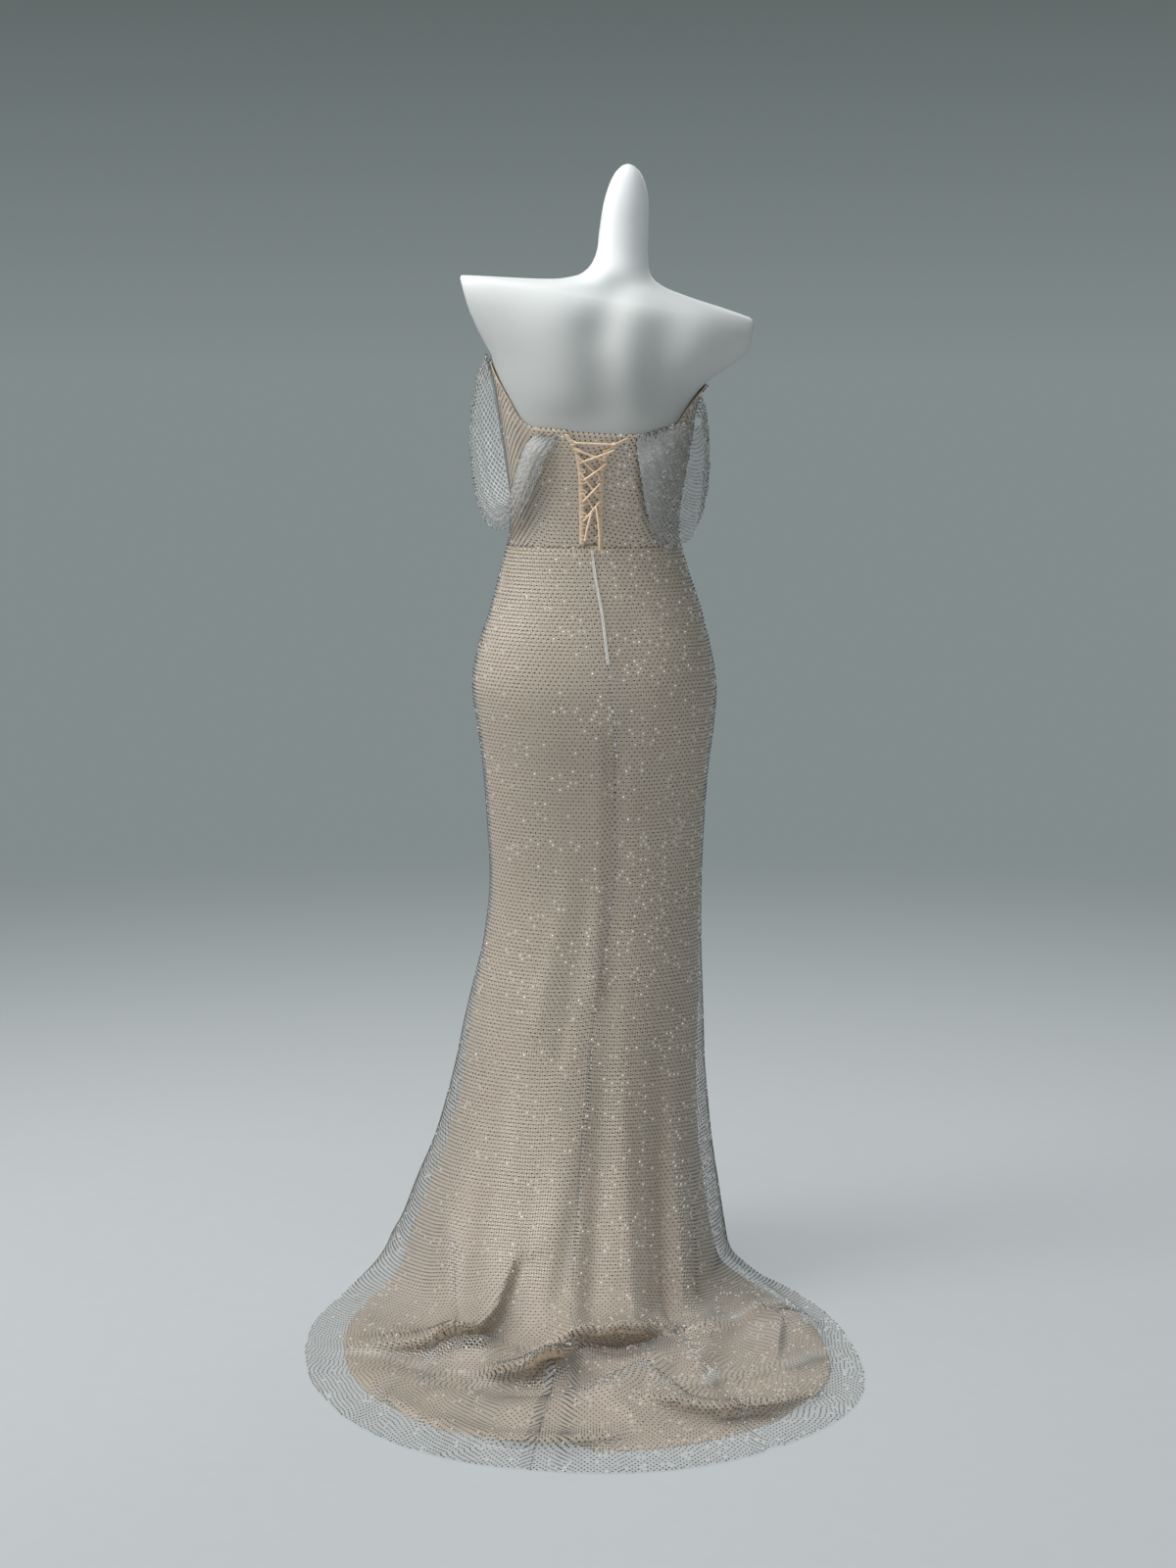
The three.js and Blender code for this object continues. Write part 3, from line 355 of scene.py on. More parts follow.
FORM_AROUND = 144
BARE_BACK = 1214
form_levels = np.unique(np.concatenate([
    np.arange(FORM_BOTTOM, 1380, 12.0), np.arange(1380, 1430, 2.0), np.arange(1430, FORM["level"][-1], 5.0),
    [FORM["level"][-1]]]))
form_angles = np.linspace(-math.pi, math.pi, FORM_AROUND + 1)
form_places = form_surface(form_angles[None, :], form_levels[:, None])
relief = sum(fold_at(form_places[..., 0], form_places[..., 2], a, b, width, height, height)
             for a, b, width, height in FORM_RELIEF)
bare = smooth_step(form_levels, BARE_BACK, BARE_BACK + 36)[:, None]
form_places[..., 1] += relief * smooth_step(form_places[..., 1], 10, 50) * bare
form_places[:, -1] = form_places[:, 0]
crown = np.array([FORM["x"][-1], FORM["y"][-1], FORM_CROWN], float)
dome = []
for share in (0.35, 0.65, 0.86, 0.97):
    ring = form_places[-1] + (crown - form_places[-1]) * share
    ring[:, 2] = FORM["level"][-1] + (FORM_CROWN - FORM["level"][-1]) * math.sin(share * math.pi / 2)
    dome.append(ring)
floor_ring = form_places[0] * [0.5, 0.5, 1]
middle = np.tile([FORM["x"][0], 0, FORM_BOTTOM], (FORM_AROUND + 1, 1))
form_places = np.concatenate([
    [middle], [floor_ring], form_places, dome, [np.tile(crown, (FORM_AROUND + 1, 1))]])

form_paint = Finish("form_paint", Specular_IOR_Level=0.42)
haze = form_paint.noise(5, 4)
grit = form_paint.noise(900, 2)
# The white is painted darker towards the bottom as painted shade, and a little warmer there as painted bounce
# light off the nude gown; the haze is the paint's own uneven tone.
height = form_paint.node("ShaderNodeSeparateXYZ", {}, {0: form_paint.place()}, "Z")
rise = form_paint.ramp(height, 1.18, 1.45, 0, 1)
painted_shade_and_haze = rise * rise + 0.3 * haze - 0.15
form_paint.feed(
    Base_Color=form_paint.mix(painted_shade_and_haze, (0.40, 0.412, 0.402, 1), (0.70, 0.72, 0.72, 1)),
    Roughness=form_paint.ramp(haze, 0.3, 0.7, 0.44, 0.56),
    Normal=form_paint.bump(grit, 0.00012, 0.25),
)
form = grid_mesh("form_torso", form_places, form_paint.material, closed=True)
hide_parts("dress_form")

# Skirt lining
# Nude satin, cut in three panels with the skirt and 68 mm shorter than it: close to the net
# down to the knee, then hanging free inside it, and spread under it on the floor.
WAIST = 1052
LANDING = 40
LANDING_SHARE = 0.64
HEM_CLEARANCE = 1.9
LINING_LIFT = 2.6
FLOOR_GAP = 0.6
LINING_SHORTER = 68
LINING_WALL = 1.0
NET_WALL = 1.2
SEAM_GAP = 0.3
SIDE_SEAM = math.radians(-4)
SKIRT = {
    "level": [1060, 1018, 963, 907, 855, 794, 738, 653, 566, 480, 423, 365, 306, 248, 189, 130, 71, 40],
    "x": [2, 2, 0, 2, 2, 0, 0, 0, 0, 5, 11, 17, 22, 27, 33, 41, 48, 54],
    "half": [121, 132.5, 149, 165, 173.5, 168, 161, 155, 152, 157, 165, 173, 180, 190, 202, 219, 235, 246],
    "front": [91, 96, 103.5, 110, 113, 112, 110, 108, 107, 110, 115, 121, 128, 136, 146, 158, 172, 181],
    "back": [81, 88, 102, 117, 125, 121, 113, 106, 104, 114, 128, 147, 170, 198, 234, 282, 345, 384],
    "square": [2.1, 2.1, 2.15, 2.2, 2.2, 2.2, 2.15, 2.1, 2.1, 2.1, 2.1, 2.1, 2.1, 2.1, 2.1, 2.1, 2.1, 2.1],
}
HEM = {
    "angle": [-180, -150, -120, -90, -60, -30, 0, 12, 24, 34, 45, 56, 67, 76, 86, 95, 104, 114, 121, 127,
              134, 148, 158, 169, 180],
    "reach": [200, 194, 192, 196, 222, 276, 316, 345, 394, 464, 548, 641, 728, 780, 804, 805, 774, 713, 652,
              581, 494, 358, 286, 222, 200],
}
BACK_SEAM = {"level": [1060, 890, 800, 590, 420, 300, 0], "angle": [88.3, 95.4, 97.5, 99.5, 94, 93.6, 93]}
# Soft folds down the skirt's back and front: both ends (across, up), width, and how far they
# stand out there; a trough goes in.
BACK_FOLDS = [
    ((-4, 800), (2, 420), 12, 1, 4),
    ((34, 560), (56, 30), 30, 0, 7),
    ((-30, 790), (-22, 430), 14, -3, -4),
    ((-20, 470), (4, 30), 17, 0, -13),
    ((-6, 300), (56, 40), 13, 0, -8),
    ((-34, 430), (-50, 30), 16, 0, 9),
    ((-88, 430), (-104, 30), 13, 0, -14),
    ((-118, 360), (-124, 30), 14, 0, 11),
    ((-146, 260), (-152, 30), 12, 0, -9),
    ((108, 430), (206, 20), 22, 0, -8),
    ((40, 300), (128, 20), 18, 0, -8),
    ((92, 400), (164, 20), 20, 0, 6),
    ((150, 430), (226, 20), 20, 0, 5),
    ((184, 300), (246, 20), 17, 0, -6),
    ((16, 690), (84, 380), 14, 0, 4.5),
    ((-6, 660), (52, 340), 11, 0, -4.5),
    ((-50, 950), (-46, 790), 32, -3, -3),
    ((-24, 805), (-60, 690), 8, 3, 1),
    ((-16, 790), (-36, 640), 10, -4, -1),
    ((-12, 1012), (-128, 916), 10, 2.5, 3.5),
]
FRONT_FOLDS = [
    ((118, 360), (168, 20), 18, 0, -15),
    ((78, 400), (112, 20), 16, 0, 11),
    ((44, 330), (62, 20), 15, 0, -14),
    ((6, 420), (12, 20), 17, 0, 11),
    ((-34, 350), (-36, 20), 15, 0, -13),
    ((-66, 380), (-78, 20), 14, 0, 10),
    ((-100, 330), (-124, 20), 15, 0, -13),
]
# Soft folds of the train: both ends on the floor, width, and their height there.
TRAIN_FOLDS = [
    ((300, 190), (196, 420), 52, 8, 18),
    ((262, 400), (150, 440), 38, 10, 22),
    ((150, 440), (108, 380), 38, 22, 16),
    ((128, 512), (62, 520), 36, 15, 26),
    ((62, 520), (14, 450), 36, 26, 22),
    ((-78, 400), (-70, 490), 40, 22, 26),
    ((-70, 490), (-40, 610), 40, 22, 8),
    ((-140, 340), (-116, 450), 38, 16, 20),
    ((-196, 170), (-262, 330), 46, 12, 22),
    ((-262, 330), (-226, 540), 44, 22, 14),
    ((-280, 480), (-60, 640), 34, 10, 9),
    ((262, 520), (96, 640), 38, 9, 12),
    ((96, 640), (-60, 640), 36, 11, 9),
    ((320, 330), (262, 520), 38, 9, 11),
]
FOLDS_BEGIN = 100
FOLDS_END = 90
# Rolled lips of the train, where the cloth laps over itself: places along each one's foot and
# its height there, its width on the skirt's side and on the hem's side, and how far its crest
# rolls over for each millimetre of its height.
TRAIN_LIPS = [
    ([(336, 416, 3), (280, 440, 12), (222, 446, 19), (172, 414, 23), (134, 372, 18), (104, 306, 5)],
     38, 9, 1.05),
    ([(152, 520, 5), (126, 538, 19), (92, 542, 27), (54, 510, 26), (24, 450, 10)], 34, 9, 1.15),
    ([(64, 440, 5), (24, 424, 24), (-20, 416, 32), (-62, 410, 26), (-96, 380, 8)], 34, 9, 1.1),
    ([(70, 604, 5), (34, 602, 18), (-14, 586, 28), (-62, 548, 30), (-90, 584, 18), (-104, 620, 4)],
     14, 36, 0),
    ([(-112, 560, 6), (-132, 500, 18), (-154, 372, 14), (-170, 270, 4)], 14, 30, 0),
    ([(-36, 634, 3), (-98, 644, 15), (-151, 656, 20), (-209, 636, 18), (-276, 586, 5)], 34, 8, 1.0),
    ([(190, 690, 3), (112, 740, 11), (35, 746, 12), (-21, 730, 9), (-40, 696, 3)], 28, 7, 0.9),
    ([(308, 512, 3), (268, 602, 9), (214, 668, 4)], 24, 8, 0.8),
    ([(-12, 616, 3), (-34, 650, 9), (-52, 684, 3)], 12, 6, 0),
    ([(222, 160, 3), (204, 240, 10), (196, 330, 12), (204, 420, 4)], 12, 14, 0),
    ([(-232, 250, 4), (-256, 360, 12), (-246, 470, 5)], 24, 10, 0.6),
]
# How strongly each layer takes the folds down it, the train's folds, air under it and the lips.
NET_LAYER = {"folds": 1, "train": 0.6, "puff": 5, "lips": 1}
LINING_LAYER = {"folds": 0.95, "train": 0.5, "puff": 1.5, "lips": 0.98}


def skirt_section(angle, level, share):
    angle, level = np.broadcast_arrays(angle, level)
    across, deep = round_section(SKIRT, angle, level)
    x = value_at(SKIRT, "level", "x", level) + across
    back = sum(fold_at(x, level, *fold) for fold in BACK_FOLDS)
    front = sum(fold_at(x, level, *fold) for fold in FRONT_FOLDS)
    out = np.where(deep > 0, back, front) * share * np.minimum(np.abs(np.sin(angle)) * 1.6, 1)
    away_x = np.cos(angle) / value_at(SKIRT, "level", "half", level)
    away_y = np.sin(angle) / value_at(SKIRT, "level", "back", level)
    length = np.hypot(away_x, away_y)
    return np.stack([x + out * away_x / length, deep + out * away_y / length, level + 0.0], axis=-1)


def lip_at(px, py, points, inner, outer):
    """How high a rolled lip stands at a place: steeper on one side of its line than on the other."""
    points = np.array(points, float)
    nearest = np.full(px.shape, 1e9)
    height = np.zeros(px.shape)
    for (ax, ay, ah), (bx, by, bh) in zip(points, points[1:]):
        t = np.clip(((px - ax) * (bx - ax) + (py - ay) * (by - ay)) / ((bx - ax) ** 2 + (by - ay) ** 2), 0, 1)
        off_x, off_y = px - ax - t * (bx - ax), py - ay - t * (by - ay)
        distance = np.hypot(off_x, off_y)
        inside = off_x * (ax + t * (bx - ax)) + off_y * (ay + t * (by - ay)) < 0
        here = (ah + (bh - ah) * t) * np.exp(-((distance / np.where(inside, inner, outer)) ** 2))
        height = np.where(distance < nearest, here, height)
        nearest = np.minimum(nearest, distance)
    return height


def rolled_lip(place, points, inner, outer, roll):
    """How a lip moves the cloth: up, and over towards the side away from the skirt."""
    points = np.array(points, float)
    chord = points[-1] - points[0]
    away = np.array([chord[1], -chord[0]]) / np.hypot(chord[0], chord[1])
    away *= np.sign(points[:, :2].mean(axis=0) @ away)
    if roll:
        points[:, :2] -= 1.6 * outer * away
    height = lip_at(place[..., 0], place[..., 1], points, inner, outer)
    return np.stack([height * roll * away[0], height * roll * away[1], height], axis=-1)


def skirt_surface(angle, down, layer):
    """The skirt's cloth: down from the waist, then over the floor to the hem."""
    angle, down = np.broadcast_arrays(angle, down)
    level = WAIST + (LANDING - WAIST) * np.minimum(down / LANDING_SHARE, 1)
    hanging = skirt_section(angle, level, layer["folds"])
    out = (down - LANDING_SHARE) / (1 - LANDING_SHARE)
    landing = skirt_section(angle, np.full(angle.shape, float(LANDING)), layer["folds"])
    direction = np.arctan2(landing[..., 1], landing[..., 0])
    near = np.hypot(landing[..., 0], landing[..., 1])
    far = value_at(HEM, "angle", "reach", np.degrees(direction))
    run = np.maximum(far - near, 4)
    reach = near + out * run
    x = reach * np.cos(direction)
    y = reach * np.sin(direction)
    lined = smooth_step(far - LINING_SHORTER - reach, -14, 10)
    floor = HEM_CLEARANCE + LINING_LIFT * lined * np.minimum(run / 100, 1)
    height = floor + (LANDING - floor) * np.maximum(1 - out, 0) ** np.maximum(1, 0.02 * run)
    soft = smooth_step(out * run, 0, FOLDS_BEGIN) * smooth_step(far - reach, 0, FOLDS_END)
    height = height + layer["puff"] * soft
    for fold in TRAIN_FOLDS:
        height = height + layer["train"] * soft * fold_at(x, y, *fold)
    lying = np.stack([x, y, height], axis=-1)
    place = np.where((out > 0)[..., None], lying, hanging)
    edge = np.where(out > 0, smooth_step(far - reach, 10, 50), smooth_step(down, 0.45, 0.55)) * layer["lips"]
    return place + sum(edge[..., None] * rolled_lip(place, *lip) for lip in TRAIN_LIPS)


def moved_out(surface, u, v, distance, facing=1):
    """Places of a surface, a distance out from it along its own normals."""
    u, v = np.broadcast_arrays(u, v)
    step = 4e-4
    along_u = surface(u + step, v) - surface(u - step, v)
    along_v = surface(u, v + step) - surface(u, v - step)
    normal = np.cross(along_u, along_v)
    normal /= np.maximum(np.linalg.norm(normal, axis=-1, keepdims=True), 1e-9)
    distance = np.asarray(distance, float)
    return surface(u, v) + normal * facing * (distance[..., None] if distance.ndim else distance)


def back_seam(down):
    level = np.where(down <= LANDING_SHARE, WAIST + (LANDING - WAIST) * down / LANDING_SHARE, 0)
    return np.radians(value_at(BACK_SEAM, "level", "angle", level))


RIGHT_SEAM = math.pi - SIDE_SEAM
# A pressed seam closes to this part of the solids' gap, seen from the gown's middle.
SEAM_PRESSED = 12
HIP_RADIUS = 110
SEAM_ANGLE = SEAM_GAP / SEAM_PRESSED / HIP_RADIUS
# Each panel's two edges: the angle round the gown at a share of the way down.
SKIRT_PANELS = {
    "front": (lambda down: RIGHT_SEAM - 2 * math.pi + SEAM_ANGLE + 0 * down,
              lambda down: SIDE_SEAM - SEAM_ANGLE + 0 * down),
    "back_left": (lambda down: SIDE_SEAM + SEAM_ANGLE + 0 * down, lambda down: back_seam(down) - SEAM_ANGLE),
    "back_right": (lambda down: back_seam(down) + SEAM_ANGLE,
                   lambda down: RIGHT_SEAM - SEAM_ANGLE + 0 * down),
}


def panel_angles(edges, down, columns):
    start, end = edges
    share = np.linspace(0, 1, columns)[None, :]
    return start(down) + (end(down) - start(down)) * share


def rows_down(top, rows):
    """Shares of the length at which a panel's rows lie: closer together over the floor."""
    return np.concatenate([np.linspace(top, LANDING_SHARE, rows[0], endpoint=False),
                           np.linspace(LANDING_SHARE, 1, rows[1])])


def lining_surface(angle, down):
    return skirt_surface(angle, down, LINING_LAYER)


# The lining's gap to the net at the waist and over the hips, and how much further in it hangs
# below the knee at the back and at the sides.
WAIST_GAP = 1.2
HIP_GAP = 2.6
BACK_STAND_OFF = 8
SIDE_STAND_OFF = 17


def lining_inset(angle, down):
    """How far the lining hangs in from the net, and never through the floor."""
    fall = smooth_step(down, 0.34, 0.6)
    landed = 1 - smooth_step(down, LANDING_SHARE - 0.02, LANDING_SHARE + 0.26)
    stand_off = BACK_STAND_OFF + (SIDE_STAND_OFF - BACK_STAND_OFF) * np.abs(np.cos(angle)) ** 1.5
    gap = WAIST_GAP + (HIP_GAP - WAIST_GAP) * smooth_step(down, 0, 0.1) - (1 - landed)
    room = lining_surface(angle, down)[..., 2] - LINING_WALL - FLOOR_GAP
    return -np.minimum(NET_WALL + gap + stand_off * fall * landed, room)


def net_surface(angle, down):
    return skirt_surface(angle, down, NET_LAYER)


def lining_end(angle):
    """How far down the lining's hem lies: a set length of cloth before the net's."""
    downs = np.linspace(0.5, 1, 260)
    places = net_surface(angle[None, :], downs[:, None])
    steps = np.linalg.norm(np.diff(places, axis=0), axis=2)
    left = np.cumsum(steps[::-1], axis=0)[::-1]
    return np.array([np.interp(-LINING_SHORTER, -left[:, c], downs[:-1]) for c in range(left.shape[1])])


def add_wall(piece, wall):
    """The cloth's own thickness, on its inner side."""
    bpy.ops.object.select_all(action="DESELECT")
    bpy.context.view_layer.objects.active = piece
    piece.select_set(True)
    cloth = piece.modifiers.new("wall", "SOLIDIFY")
    cloth.thickness = wall * MM
    cloth.offset = -1
    cloth.use_even_offset = False
    bpy.ops.object.modifier_apply(modifier="wall")


lining_satin = satin("nude_satin", (0.66, 0.525, 0.385, 1), (0.57, 0.44, 0.315, 1), 0.78)
LINING_ROWS = (64, 100)
LINING_TOP = -0.0025
LINING_COLUMNS = {"front": 80, "back_left": 92, "back_right": 92}
# Cut of each panel in metres: width, length and area.
LINING_CUTS = {
    "front": (0.50, 1.01, 0.428),
    "back_left": (0.62, 1.40, 0.433),
    "back_right": (0.62, 1.40, 0.444),
}
for panel, edges in SKIRT_PANELS.items():
    columns = LINING_COLUMNS[panel]
    share = rows_down(LINING_TOP, LINING_ROWS)[:, None]
    down = share * np.ones((1, columns))
    for turn in range(3):
        angles = panel_angles(edges, down, columns)
        last = lining_end(angles[-1])[None, :]
        down = share * last
    places = moved_out(lining_surface, angles, down, lining_inset(angles, down), -1)
    lining = grid_mesh("skirt_lining_cloth_" + panel, places, lining_satin)
    add_wall(lining, LINING_WALL)
    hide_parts("skirt_lining_" + panel)
    width, length, area = LINING_CUTS[panel]

# Beaded net
# A diamond fishnet of silver-grey thread with a clear faceted stone glued over every knot.
# Its knots lie in rows along the cloth, each row half a diamond over from the last.
DIAMOND_WIDE = 7.4
DIAMOND_ROW = 5.35
THREAD = 1.5
SMALLEST_DIAMOND = 7
STONE_RADIUS = 1.35
STONE_HEIGHT = 1.15


def thread_finish(name, dark, light):
    """Grey metallic thread, its twist lighter and darker along it."""
    thread = Finish(name, Specular_IOR_Level=0.5, Sheen_Weight=0.2, Sheen_Roughness=0.5)
    twist = thread.noise(1100, 2)
    slow = thread.noise(7, 2)
    thread.feed(
        Base_Color=thread.mix(0.6 * twist + 0.4 * slow, dark, light),
        Metallic=thread.ramp(slow, 0.3, 0.7, 0.05, 0.2),
        Roughness=thread.ramp(twist, 0.3, 0.7, 0.45, 0.6),
        Normal=thread.bump(twist, 0.0003, 0.5),
    )
    return thread.material


net_thread = thread_finish("net_thread", (0.33, 0.325, 0.31, 1), (0.70, 0.69, 0.665, 1))
# The stones' colour is painted light: near black where a stone is painted with dark reflections, near white
# where it is painted with glints, and the brightest glints glow as painted sparkle.
stone_glass = Finish("clear_stone_painted_light", Specular_IOR_Level=0.7, Emission_Strength=1.0)
glint = stone_glass.node("ShaderNodeAttribute", {"attribute_name": "glint"}, {}, "Fac")
cloudy = stone_glass.noise(600, 1)
stone_glass.feed(
    Base_Color=stone_glass.mix(stone_glass.ramp(glint + 0.2 * cloudy, 0.3, 0.9, 0, 1),
                               (0.035, 0.033, 0.030, 1), (0.84, 0.84, 0.82, 1)),
    Metallic=stone_glass.ramp(glint, 0, 1, 0.3, 0.0),
    Roughness=stone_glass.ramp(glint, 0, 1, 0.16, 0.24),
    Emission_Color=stone_glass.mix(stone_glass.ramp(glint, 0.75, 1.0, 0, 1),
                                   (0, 0, 0, 1), (0.16, 0.16, 0.155, 1)),
)


def knots_over(places, anchor=None):
    """Knots of the net over a sheet's rows and columns, and the diamonds between them.

    A knot row keeps its length of cloth down from the sheet's first row, and its knots keep
    their length along it from the anchor column. The last knots before an edge lie on it.
    """
    rows, columns = places.shape[:2]
    steps = np.linalg.norm(np.diff(places, axis=0), axis=2)
    run = np.vstack([np.zeros(columns), np.cumsum(steps, axis=0)])
    if anchor is None:
        anchor = int(np.argmax(run[-1]))
    over = np.gradient(places, axis=1)
    fall = np.gradient(places, axis=0)
    normals = np.cross(fall, over)
    normals /= np.maximum(np.linalg.norm(normals, axis=2, keepdims=True), 1e-9)
    count = int(run[-1].max() / DIAMOND_ROW) + 2
    lengths = np.arange(count) * DIAMOND_ROW
    between = np.array([np.interp(lengths, run[:, c], np.arange(rows)) for c in range(columns)]).T
    first = np.minimum(between.astype(int), rows - 2)
    part = (between - first)[..., None]
    column = np.arange(columns)
    lines = places[first, column] * (1 - part) + places[first + 1, column] * part
    faces_out = normals[first, column] * (1 - part) + normals[first + 1, column] * part
    inside = lengths[:, None] <= run[-1][None, :] + DIAMOND_ROW * 0.999
    spots, outs, free, at, number = [], [], [], [], {}
    for k in range(count):
        if not inside[k, anchor]:
            break
        low = high = anchor
        while low > 0 and inside[k, low - 1]:
            low -= 1
        while high < columns - 1 and inside[k, high + 1]:
            high += 1
        if high == low:
            break
        line = lines[k, low:high + 1]
        along = np.concatenate([[0], np.cumsum(np.linalg.norm(np.diff(line, axis=0), axis=1))])
        along -= along[anchor - low]
        shift = 0.5 * (k % 2)
        numbers = np.arange(math.floor(along[0] / DIAMOND_WIDE - shift),
                            math.ceil(along[-1] / DIAMOND_WIDE - shift) + 1)
        wanted = (numbers + shift) * DIAMOND_WIDE
        held = np.clip(wanted, along[0], along[-1])
        spot = np.stack([np.interp(held, along, line[:, i]) for i in range(3)], axis=1)
        out = np.stack([np.interp(held, along, faces_out[k, low:high + 1, i]) for i in range(3)], axis=1)
        for n, place in enumerate(numbers):
            number[(k, int(place))] = len(at) + n
        spots.append(spot)
        outs.append(out)
        ends = np.interp(held, along, run[-1, low:high + 1])
        free.append((np.abs(held - wanted) < 0.3 * DIAMOND_WIDE) & (lengths[k] < ends + 0.3 * DIAMOND_ROW))
        at.extend((k, n) for n in numbers)
    spots = np.concatenate(spots)
    outs = np.concatenate(outs)
    outs /= np.maximum(np.linalg.norm(outs, axis=1, keepdims=True), 1e-9)
    cells = []
    for (k, place), left in number.items():
        right = number.get((k, place + 1))
        middle = place if k % 2 == 0 else place + 1
        top = number.get((k - 1, middle))
        bottom = number.get((k + 1, middle))
        if right is None:
            continue
        cell = [left, bottom, right, top]
        cell = [corner for corner in cell if corner is not None]
        if len(cell) > 2:
            cells.append(cell)
    return spots, outs, np.concatenate(free), cells


def cell_area(spots, cell):
    a, b, c = spots[cell[0]], spots[cell[1]], spots[cell[2]]
    if len(cell) == 3:
        return np.linalg.norm(np.cross(b - a, c - a)) / 2
    return np.linalg.norm(np.cross(c - a, spots[cell[3]] - b)) / 2


def thread_net(name, spots, cells):
    """The net's threads: each diamond is inset by half a thread and its middle taken out."""
    used = [cell for cell in cells if cell_area(spots, cell) > SMALLEST_DIAMOND]
    mesh = bpy.data.meshes.new(name)
    mesh.from_pydata((spots * MM).tolist(), [], used)
    mesh.update()
    made = bpy.data.objects.new(name, mesh)
    bpy.context.collection.objects.link(made)
    bpy.ops.object.select_all(action="DESELECT")
    bpy.context.view_layer.objects.active = made
    made.select_set(True)
    whole = [len(cell) == 4 and cell_area(spots, cell) > 0.7 * DIAMOND_WIDE * DIAMOND_ROW for cell in used]
    bpy.ops.object.mode_set(mode="EDIT")
    bpy.ops.mesh.select_mode(type="FACE")
    bpy.ops.mesh.select_all(action="DESELECT")
    for even in (True, False):
        bpy.ops.object.mode_set(mode="OBJECT")
        flags = np.zeros(len(mesh.polygons), bool)
        flags[:len(used)] = np.array(whole) == even
        mesh.polygons.foreach_set("select", flags)
        bpy.ops.object.mode_set(mode="EDIT")
        bpy.ops.mesh.inset(thickness=THREAD / 2 * MM, use_individual=True, use_even_offset=even)
    bpy.ops.object.mode_set(mode="OBJECT")
    flags = np.zeros(len(mesh.polygons), bool)
    flags[:len(used)] = True
    mesh.polygons.foreach_set("select", flags)
    bpy.ops.object.mode_set(mode="EDIT")
    bpy.ops.mesh.delete(type="FACE")
    bpy.ops.mesh.select_all(action="SELECT")
    bpy.ops.mesh.delete_loose()
    bpy.ops.object.mode_set(mode="OBJECT")
    bpy.ops.object.shade_smooth()
    mesh.materials.append(net_thread)
    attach(made, "root")
    return made, used


bpy.ops.object.select_all(action="DESELECT")
bpy.ops.mesh.primitive_cone_add(vertices=6, radius1=STONE_RADIUS, radius2=0, depth=STONE_HEIGHT,
                                location=(0, 0, STONE_HEIGHT / 2), end_fill_type="NOTHING")
bpy.ops.object.transform_apply(location=True, rotation=True, scale=True)
one_stone = bpy.context.object
stone_corners = np.array([v.co for v in one_stone.data.vertices])
stone_faces = np.array([p.vertices for p in one_stone.data.polygons])
bpy.data.objects.remove(one_stone)
sparkle = np.random.default_rng(7)
# Direction, for each millimetre, and phase of the slow waves by which patches of stones get
# more or fewer painted glints.
STONE_WAVES = [((0.031, 0.012, 0.044), 0.3), ((-0.052, 0.034, 0.018), 1.7), ((0.021, -0.06, -0.071), 4.1),
               ((0.092, 0.05, -0.023), 2.6)]


def stones_on(name, spots, outs, glitter=0.08):
    """A faceted stone on each knot, set by hand and so turned and tipped a little each its own way, and
    painted with glints or with dark reflections.
    """
    count = len(spots)
    tips = sparkle.normal(0, 0.2, (count, 3))
    up = outs + tips
    up /= np.linalg.norm(up, axis=1, keepdims=True)
    side = np.cross(up, sparkle.normal(0, 1, (count, 3)))
    side /= np.linalg.norm(side, axis=1, keepdims=True)
    third = np.cross(up, side)
    turn = np.stack([side, third, up], axis=2)
    corners = np.einsum("nij,kj->nki", turn, stone_corners) + spots[:, None, :]
    faces = stone_faces[None] + (np.arange(count) * len(stone_corners))[:, None, None]
    mesh = bpy.data.meshes.new(name)
    faces = faces.reshape(-1, stone_faces.shape[1])
    mesh.from_pydata((corners.reshape(-1, 3) * MM).tolist(), [], faces.tolist())
    mesh.update()
    waves = sum(np.sin(spots @ np.array(way) + phase) for way, phase in STONE_WAVES) / len(STONE_WAVES)
    # Stones painted lit get painted glints on their facets, and the rest get painted dark reflections; more
    # are painted lit towards the wearer's right, the shaded side.
    lit = sparkle.random(count) < glitter + 0.07 * waves - 0.04 * np.tanh(spots[:, 0] / 60)
    facets = sparkle.random((count, len(stone_faces)))
    shine = np.where(lit[:, None], 0.6 + 0.4 * facets, 0.12 * facets)
    bright = mesh.attributes.new("glint", "FLOAT", "FACE")
    bright.data.foreach_set("value", shine.ravel().astype(np.float32))
    made = bpy.data.objects.new(name, mesh)
    bpy.context.collection.objects.link(made)
    mesh.materials.append(stone_glass.material)
    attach(made, "root")
    return made


def beaded_net(name, places, glitter=0.08):
    """A panel's net and stones, in place of the solid of the same name."""
    spots, outs, free, cells = knots_over(places)
    net, used = thread_net(name + "_net", spots, cells)
    kept = np.zeros(len(spots), bool)
    kept[np.unique(np.concatenate([np.array(cell) for cell in used]))] = True
    stones = stones_on(name + "_stones", spots[kept & free], outs[kept & free], glitter)
    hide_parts(name)
    return net


# Skirt
# Three panels of beaded net cut in one from the waist to the hem, the two back ones with
# the train, joined at the sides and down the centre back.
NET_ROWS = (140, 200)
NET_COLUMNS = {"front": 150, "back_left": 130, "back_right": 130}
for panel, edges in SKIRT_PANELS.items():
    down = rows_down(0, NET_ROWS)[:, None]
    places = net_surface(panel_angles(edges, down, NET_COLUMNS[panel]), down)
    beaded_net("skirt_" + panel, places)

